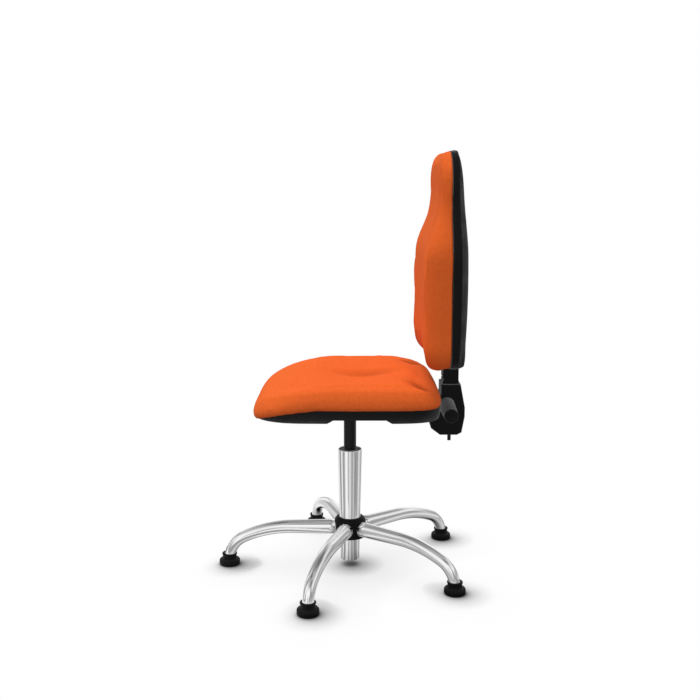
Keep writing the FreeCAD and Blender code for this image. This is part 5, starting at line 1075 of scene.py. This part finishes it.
class CHAIR_OT_legs(bpy.types.Operator):
    """Build the five chromed legs"""
    bl_idname = "chair.legs"
    bl_label = "Legs"

    def execute(self, context):
        base = context.scene.chair_base
        for index, name in enumerate(LEG_NAMES):
            bm = leg_form(base)
            around(bm, index)
            piece = add_piece(f"leg_tube_{name}", bm, "chrome", "base", f"leg_{name}", sharp=80)
            add_wall(piece, base.tube_wall)
        return {"FINISHED"}


def glide_form(base):
    """One stepped foot: a rounded disc, and a neck with a collar round the tube."""
    disc = 23.5 * MM
    sole_round = (4 * MM, 3.5 * MM)
    shoulder = 4.5 * MM
    shoulder_low = 9 * MM
    throat = (18 * MM, 15.4 * MM)
    throat_round = (2 * MM, 1.8 * MM)
    neck = 15.8 * MM
    neck_top = 21 * MM
    collar = 17 * MM
    collar_low = 24.2 * MM
    chamfer = 0.8 * MM
    top = 27 * MM
    bore = 13 * MM
    bore_floor = 11.8 * MM
    # At its mouth the bore follows the tube, which there still bends towards the hub.
    mouth_shift = 1.9 * MM
    profile = [(0, 0)]
    profile += arc((disc - sole_round[0], sole_round[1]), sole_round, -90, 0, 5)
    profile += arc((disc - shoulder, shoulder_low), (shoulder, shoulder), 0, 85, 5)
    profile += arc(throat, throat_round, 270, 180, 4)
    profile += [(neck, neck_top), (collar - chamfer, collar_low - chamfer), (collar, collar_low)]
    profile += [(collar, top - chamfer), (collar - chamfer, top)]
    profile += [(bore, top), (bore, bore_floor), (0, bore_floor)]
    bm = spun(profile)
    near = 0.1 * MM
    highest = [vertex for vertex in bm.verts if vertex.co.z > top - near]
    mouth = [vertex for vertex in highest if vertex.co.xy.length < bore + near]
    bmesh.ops.translate(bm, verts=mouth, vec=(-mouth_shift, 0, 0))
    bmesh.ops.translate(bm, verts=bm.verts, vec=(base.foot_circle, 0, 0))
    return bm


class CHAIR_OT_glides(bpy.types.Operator):
    """Build the five floor glides"""
    bl_idname = "chair.glides"
    bl_label = "Glides"

    def execute(self, context):
        for index, name in enumerate(LEG_NAMES):
            bm = glide_form(context.scene.chair_base)
            around(bm, index)
            add_piece(f"floor_glide_{name}", bm, "black_plastic", "base", f"glide_{name}", sharp=50)
        return {"FINISHED"}


class CHAIR_OT_hub(bpy.types.Operator):
    """Build the moulded hub cover with a hole for each leg"""
    bl_idname = "chair.hub"
    bl_label = "Hub cover"

    def execute(self, context):
        base = context.scene.chair_base
        low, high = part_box("hub_cover")
        inner = base.leg_start
        skirt = 37.2 * MM
        skirt_chamfer = (0.4 * MM, 1.5 * MM)
        skirt_height = 4 * MM
        side = 36.4 * MM
        shoulder = (26 * MM, 101 * MM)
        shoulder_round = (side - shoulder[0], 14.6 * MM)
        mouth = 24 * MM
        ledge = 109.2 * MM
        draft = 0.1 * MM
        clear = 0.3 * MM
        drill_length = 40 * MM
        profile = [(inner, low.z), (skirt - skirt_chamfer[0], low.z)]
        profile += [(skirt, low.z + skirt_chamfer[1]), (side, low.z + skirt_height)]
        profile += arc(shoulder, shoulder_round, 0, 85, 10)
        profile += [(mouth, high.z), (mouth - draft, ledge + 2 * draft), (inner, ledge)]
        bm = spun(profile, closed=True, steps=120)
        piece = add_piece("hub_moulding", bm, "black_plastic", "base", "hub_cover")
        for index in range(len(LEG_NAMES)):
            drill = bmesh.new()
            bmesh.ops.create_cone(
                drill, cap_ends=True, segments=64, radius1=base.root_radius + clear,
                radius2=base.root_radius, depth=drill_length,
            )
            turn_form(drill, math.pi / 2, "Y")
            bmesh.ops.translate(drill, verts=drill.verts, vec=(drill_length, 0, base.leg_height))
            around(drill, index)
            carve(piece, drill, "DIFFERENCE")
        piece.data.set_sharp_from_angle(angle=math.radians(SHARP_TURN))
        return {"FINISHED"}


class CHAIR_OT_column(bpy.types.Operator):
    """Build the chromed column and the gas cylinder in it"""
    bl_idname = "chair.column"
    bl_label = "Column"

    def execute(self, context):
        base = context.scene.chair_base
        low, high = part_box("column_tube")
        head = high.x
        foot = base.column_foot
        wall = base.column_wall
        profile = [(foot - wall, low.z), (foot, low.z), (head, high.z), (head - wall, high.z)]
        bm = spun(profile, closed=True, steps=96)
        soften_edges(bm, width=0.9 * MM)
        add_piece("column_shell", bm, "chrome", "base", "column_tube", sharp=60)

        low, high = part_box("gas_cylinder")
        outer = high.x
        wall = 1.5 * MM
        bore = outer - wall
        taper_length = 45 * MM
        taper_top = 13.1 * MM
        end_wall = 14 * MM
        valve = 4.05 * MM
        profile = [(bore, low.z), (outer, low.z), (outer, high.z - taper_length), (taper_top, high.z)]
        profile += [(valve, high.z), (valve, high.z - end_wall), (bore, high.z - end_wall)]
        bm = spun(profile, closed=True, steps=64)
        soften_edges(bm, width=0.6 * MM)
        add_piece("gas_spring_tube", bm, "black_steel", "seat", "gas_cylinder", sharp=40)
        return {"FINISHED"}


class CHAIR_OT_knob(bpy.types.Operator):
    """Build the long tilt knob"""
    bl_idname = "chair.knob"
    bl_label = "Tilt knob"

    def execute(self, context):
        low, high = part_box("knob_grip")
        whole = high.x - low.x
        bore = 5.1 * MM
        end_wall = 3 * MM
        foot = 18 * MM
        foot_chamfer = (1 * MM, 1.2 * MM)
        tip = 15.2 * MM
        tip_round = (3 * MM, 3.2 * MM)
        tip_flat = 0.3 * MM
        face = 10.8 * MM
        face_sink = 0.9 * MM
        middle_sink = 1.2 * MM
        profile = [(0, whole - end_wall), (bore, whole - end_wall), (bore, 0)]
        profile += [(foot - foot_chamfer[0], 0), (foot, foot_chamfer[1])]
        profile += [(tip, whole - tip_round[1] - tip_flat)]
        profile += arc((tip - tip_round[0], whole - tip_round[1]), tip_round, 0, 90, 6)
        profile += [(face, whole - face_sink), (0, whole - middle_sink)]
        bm = spun(profile, steps=64)
        turn_form(bm, math.pi / 2, "Y")
        middle = (low + high) / 2
        bmesh.ops.translate(bm, verts=bm.verts, vec=(low.x, middle.y, middle.z))
        add_piece("tilt_handle", bm, "black_plastic", "tilt_knob", "knob_grip", sharp=40)
        return {"FINISHED"}


class CHAIR_OT_metal_and_mouldings(bpy.types.Operator):
    """Give every piece that keeps its packed form its finish"""
    bl_idname = "chair.metal_and_mouldings"
    bl_label = "Packed pieces"

    def execute(self, context):
        for name, node in frame["nodes"].items():
            node.data.materials.clear()
            node.data.materials.append(finish_of(NODE_SLOTS[name]))
            # As in the photograph, the chromed tubes mirror the studio and each other, not the dark pieces.
            node.visible_glossy = NODE_SLOTS[name] == "chrome"
        return {"FINISHED"}


# Stage

WHITE = (1, 1, 1, 1)
# Reach of the shadow close to what stands on the floor and of the wider one, with how dark each is
CONTACT_SHADOWS = ((65 * MM, 2.4), (150 * MM, 0.45))


def mirror_level(tree, way):
    """How bright the studio is in mirrors, by direction: tall pale cards, grey gaps and a grey ceiling."""
    tall = add_node(tree, "ShaderNodeMapping", {"Vector": way, "Scale": (1, 1, 0.4)}).outputs[0]
    cards = add_node(tree, "ShaderNodeTexNoise", {"Vector": tall, "Scale": 2, "Detail": 2}).outputs[0]
    walls = add_node(
        tree, "ShaderNodeMapRange",
        {"Value": cards, "From Min": 0.38, "From Max": 0.58, "To Min": 0.32, "To Max": 1.1},
        interpolation_type="SMOOTHSTEP",
    ).outputs[0]
    upward = add_node(tree, "ShaderNodeSeparateXYZ", {0: way}).outputs[2]
    ceiling = add_node(
        tree, "ShaderNodeMapRange",
        {"Value": upward, "From Min": 0.5, "From Max": 0.9, "To Min": 1, "To Max": 0.5},
        interpolation_type="SMOOTHSTEP",
    ).outputs[0]
    return add_node(tree, "ShaderNodeMath", {0: walls, 1: ceiling}, operation="MULTIPLY").outputs[0]


def by_ray(tree, path, lights, mirrored, seen):
    """One shader for the light that it gives, one for mirrors and one for what the eye sees."""
    direct = {0: path.outputs["Is Camera Ray"], 1: path.outputs["Is Transmission Ray"]}
    looked_at = add_node(tree, "ShaderNodeMath", direct, operation="MAXIMUM").outputs[0]
    indirect = {0: path.outputs["Is Glossy Ray"], 1: lights, 2: mirrored}
    behind = add_node(tree, "ShaderNodeMixShader", indirect).outputs[0]
    return add_node(tree, "ShaderNodeMixShader", {0: looked_at, 1: behind, 2: seen}).outputs[0]


def studio_world(studio):
    """White all round to the eye, striped with grey in reflections, and an even ambient light."""
    world = bpy.data.worlds.new("studio")
    world.use_nodes = True
    bpy.context.scene.world = world
    tree = world.node_tree
    tree.nodes.clear()
    path = add_node(tree, "ShaderNodeLightPath")
    level = mirror_level(tree, add_node(tree, "ShaderNodeTexCoord").outputs["Generated"])
    white, mirrored, soft = [
        add_node(tree, "ShaderNodeBackground", {"Color": WHITE, "Strength": strength}).outputs[0]
        for strength in (1, level, studio.ambient)
    ]
    shown = by_ray(tree, path, soft, mirrored, white)
    add_node(tree, "ShaderNodeOutputWorld", {"Surface": shown})


def floor_material():
    """A white studio floor that shows soft contact shadows and sends a little light back up."""
    material, tree = start_material("white_floor")
    path = add_node(tree, "ShaderNodeLightPath")
    # The light comes a little from the front and the far side, so each shadow lies behind and nearer.
    lean = add_node(tree, "ShaderNodeCombineXYZ", {0: -0.25, 1: -0.3, 2: 0.92}).outputs[0]
    shades = []
    for reach, depth in CONTACT_SHADOWS:
        open_sky = add_node(
            tree, "ShaderNodeAmbientOcclusion", {"Distance": reach, "Normal": lean}, samples=16
        ).outputs["AO"]
        shade = add_node(tree, "ShaderNodeMath", {0: open_sky, 1: depth}, operation="POWER").outputs[0]
        shades.append(shade)
    shade = add_node(tree, "ShaderNodeMath", {0: shades[0], 1: shades[1]}, operation="MULTIPLY").outputs[0]
    seen_white = add_node(tree, "ShaderNodeEmission", {"Color": WHITE, "Strength": shade}).outputs[0]
    place = add_node(tree, "ShaderNodeTexCoord").outputs["Object"]
    way = add_node(tree, "ShaderNodeVectorMath", {0: place}, operation="NORMALIZE").outputs[0]
    level = mirror_level(tree, way)
    dim = add_node(tree, "ShaderNodeMath", {0: shade, 1: level}, operation="MULTIPLY").outputs[0]
    seen_cards = add_node(tree, "ShaderNodeEmission", {"Color": WHITE, "Strength": dim}).outputs[0]
    grey = add_node(tree, "ShaderNodeBsdfDiffuse", {"Color": (0.45, 0.45, 0.45, 1)}).outputs[0]
    shown = by_ray(tree, path, grey, seen_cards, seen_white)
    add_node(tree, "ShaderNodeOutputMaterial", {"Surface": shown})
    return material


class CHAIR_OT_stage(bpy.types.Operator):
    """Set the floor, the light and the camera"""
    bl_idname = "chair.stage"
    bl_label = "Stage"

    def execute(self, context):
        scene = context.scene
        studio = scene.chair_studio
        bm = bmesh.new()
        bmesh.ops.create_grid(bm, x_segments=1, y_segments=1, size=studio.floor)
        mesh = bpy.data.meshes.new("studio_floor")
        bm.to_mesh(mesh)
        bm.free()
        mesh.materials.append(floor_material())
        floor = bpy.data.objects.new("studio_floor", mesh)
        scene.collection.objects.link(floor)
        studio_world(studio)

        sun = bpy.data.lights.new("overhead", "SUN")
        sun.energy = studio.sun
        sun.angle = studio.sun_width
        lamp = bpy.data.objects.new("overhead", sun)
        # A broad lamp has no hard edge in mirrors, so the tubes mirror only the cards and the ceiling.
        lamp.visible_glossy = False
        lamp.rotation_euler = (studio.sun_front, studio.sun_near, 0)
        scene.collection.objects.link(lamp)

        lens = bpy.data.cameras.new("photo_view")
        lens.sensor_width = 36
        lens.lens = lens.sensor_width / 2 / math.tan(studio.view_angle / 2)
        camera = bpy.data.objects.new("photo_view", lens)
        camera.location = (studio.camera_x, 0, studio.camera_z)
        camera.rotation_euler = (math.pi / 2 - studio.pitch, 0, math.pi / 2)
        scene.collection.objects.link(camera)
        scene.camera = camera
        scene.view_settings.view_transform = "Standard"
        return {"FINISHED"}


OPERATORS = (
    CHAIR_OT_metal_and_mouldings,
    CHAIR_OT_seat_cushion,
    CHAIR_OT_back_cushion,
    CHAIR_OT_back_shell,
    CHAIR_OT_legs,
    CHAIR_OT_glides,
    CHAIR_OT_hub,
    CHAIR_OT_column,
    CHAIR_OT_knob,
    CHAIR_OT_stage,
)
GROUPS = {
    "chair_finishes": ChairFinishes,
    "chair_soft": ChairSoft,
    "chair_seat": ChairSeat,
    "chair_back": ChairBack,
    "chair_base": ChairBase,
    "chair_shell": ChairShell,
    "chair_studio": ChairStudio,
}


class CHAIR_PT_build(bpy.types.Panel):
    """The chair's sizes, colours and pieces"""
    bl_idname = "CHAIR_PT_build"
    bl_label = "Office chair"
    bl_space_type = "VIEW_3D"
    bl_region_type = "UI"
    bl_category = "Chair"

    def draw(self, context):
        for group in GROUPS:
            box = self.layout.box()
            settings = getattr(context.scene, group)
            for name in settings.bl_rna.properties.keys():
                if name not in ("rna_type", "name"):
                    box.prop(settings, name)
        for operator in OPERATORS:
            self.layout.operator(operator.bl_idname)


def register():
    for group in GROUPS.values():
        bpy.utils.register_class(group)
    for name, group in GROUPS.items():
        setattr(bpy.types.Scene, name, PointerProperty(type=group))
    for operator in OPERATORS:
        bpy.utils.register_class(operator)
    bpy.utils.register_class(CHAIR_PT_build)


def unregister():
    bpy.utils.unregister_class(CHAIR_PT_build)
    for operator in reversed(OPERATORS):
        bpy.utils.unregister_class(operator)
    for name, group in GROUPS.items():
        delattr(bpy.types.Scene, name)
        bpy.utils.unregister_class(group)


def main():
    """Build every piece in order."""
    register()
    bpy.ops.chair.metal_and_mouldings()
    bpy.ops.chair.seat_cushion()
    bpy.ops.chair.back_cushion()
    bpy.ops.chair.back_shell()
    bpy.ops.chair.legs()
    bpy.ops.chair.glides()
    bpy.ops.chair.hub()
    bpy.ops.chair.column()
    bpy.ops.chair.knob()
    bpy.ops.chair.stage()


if __name__ == "__main__":
    main()
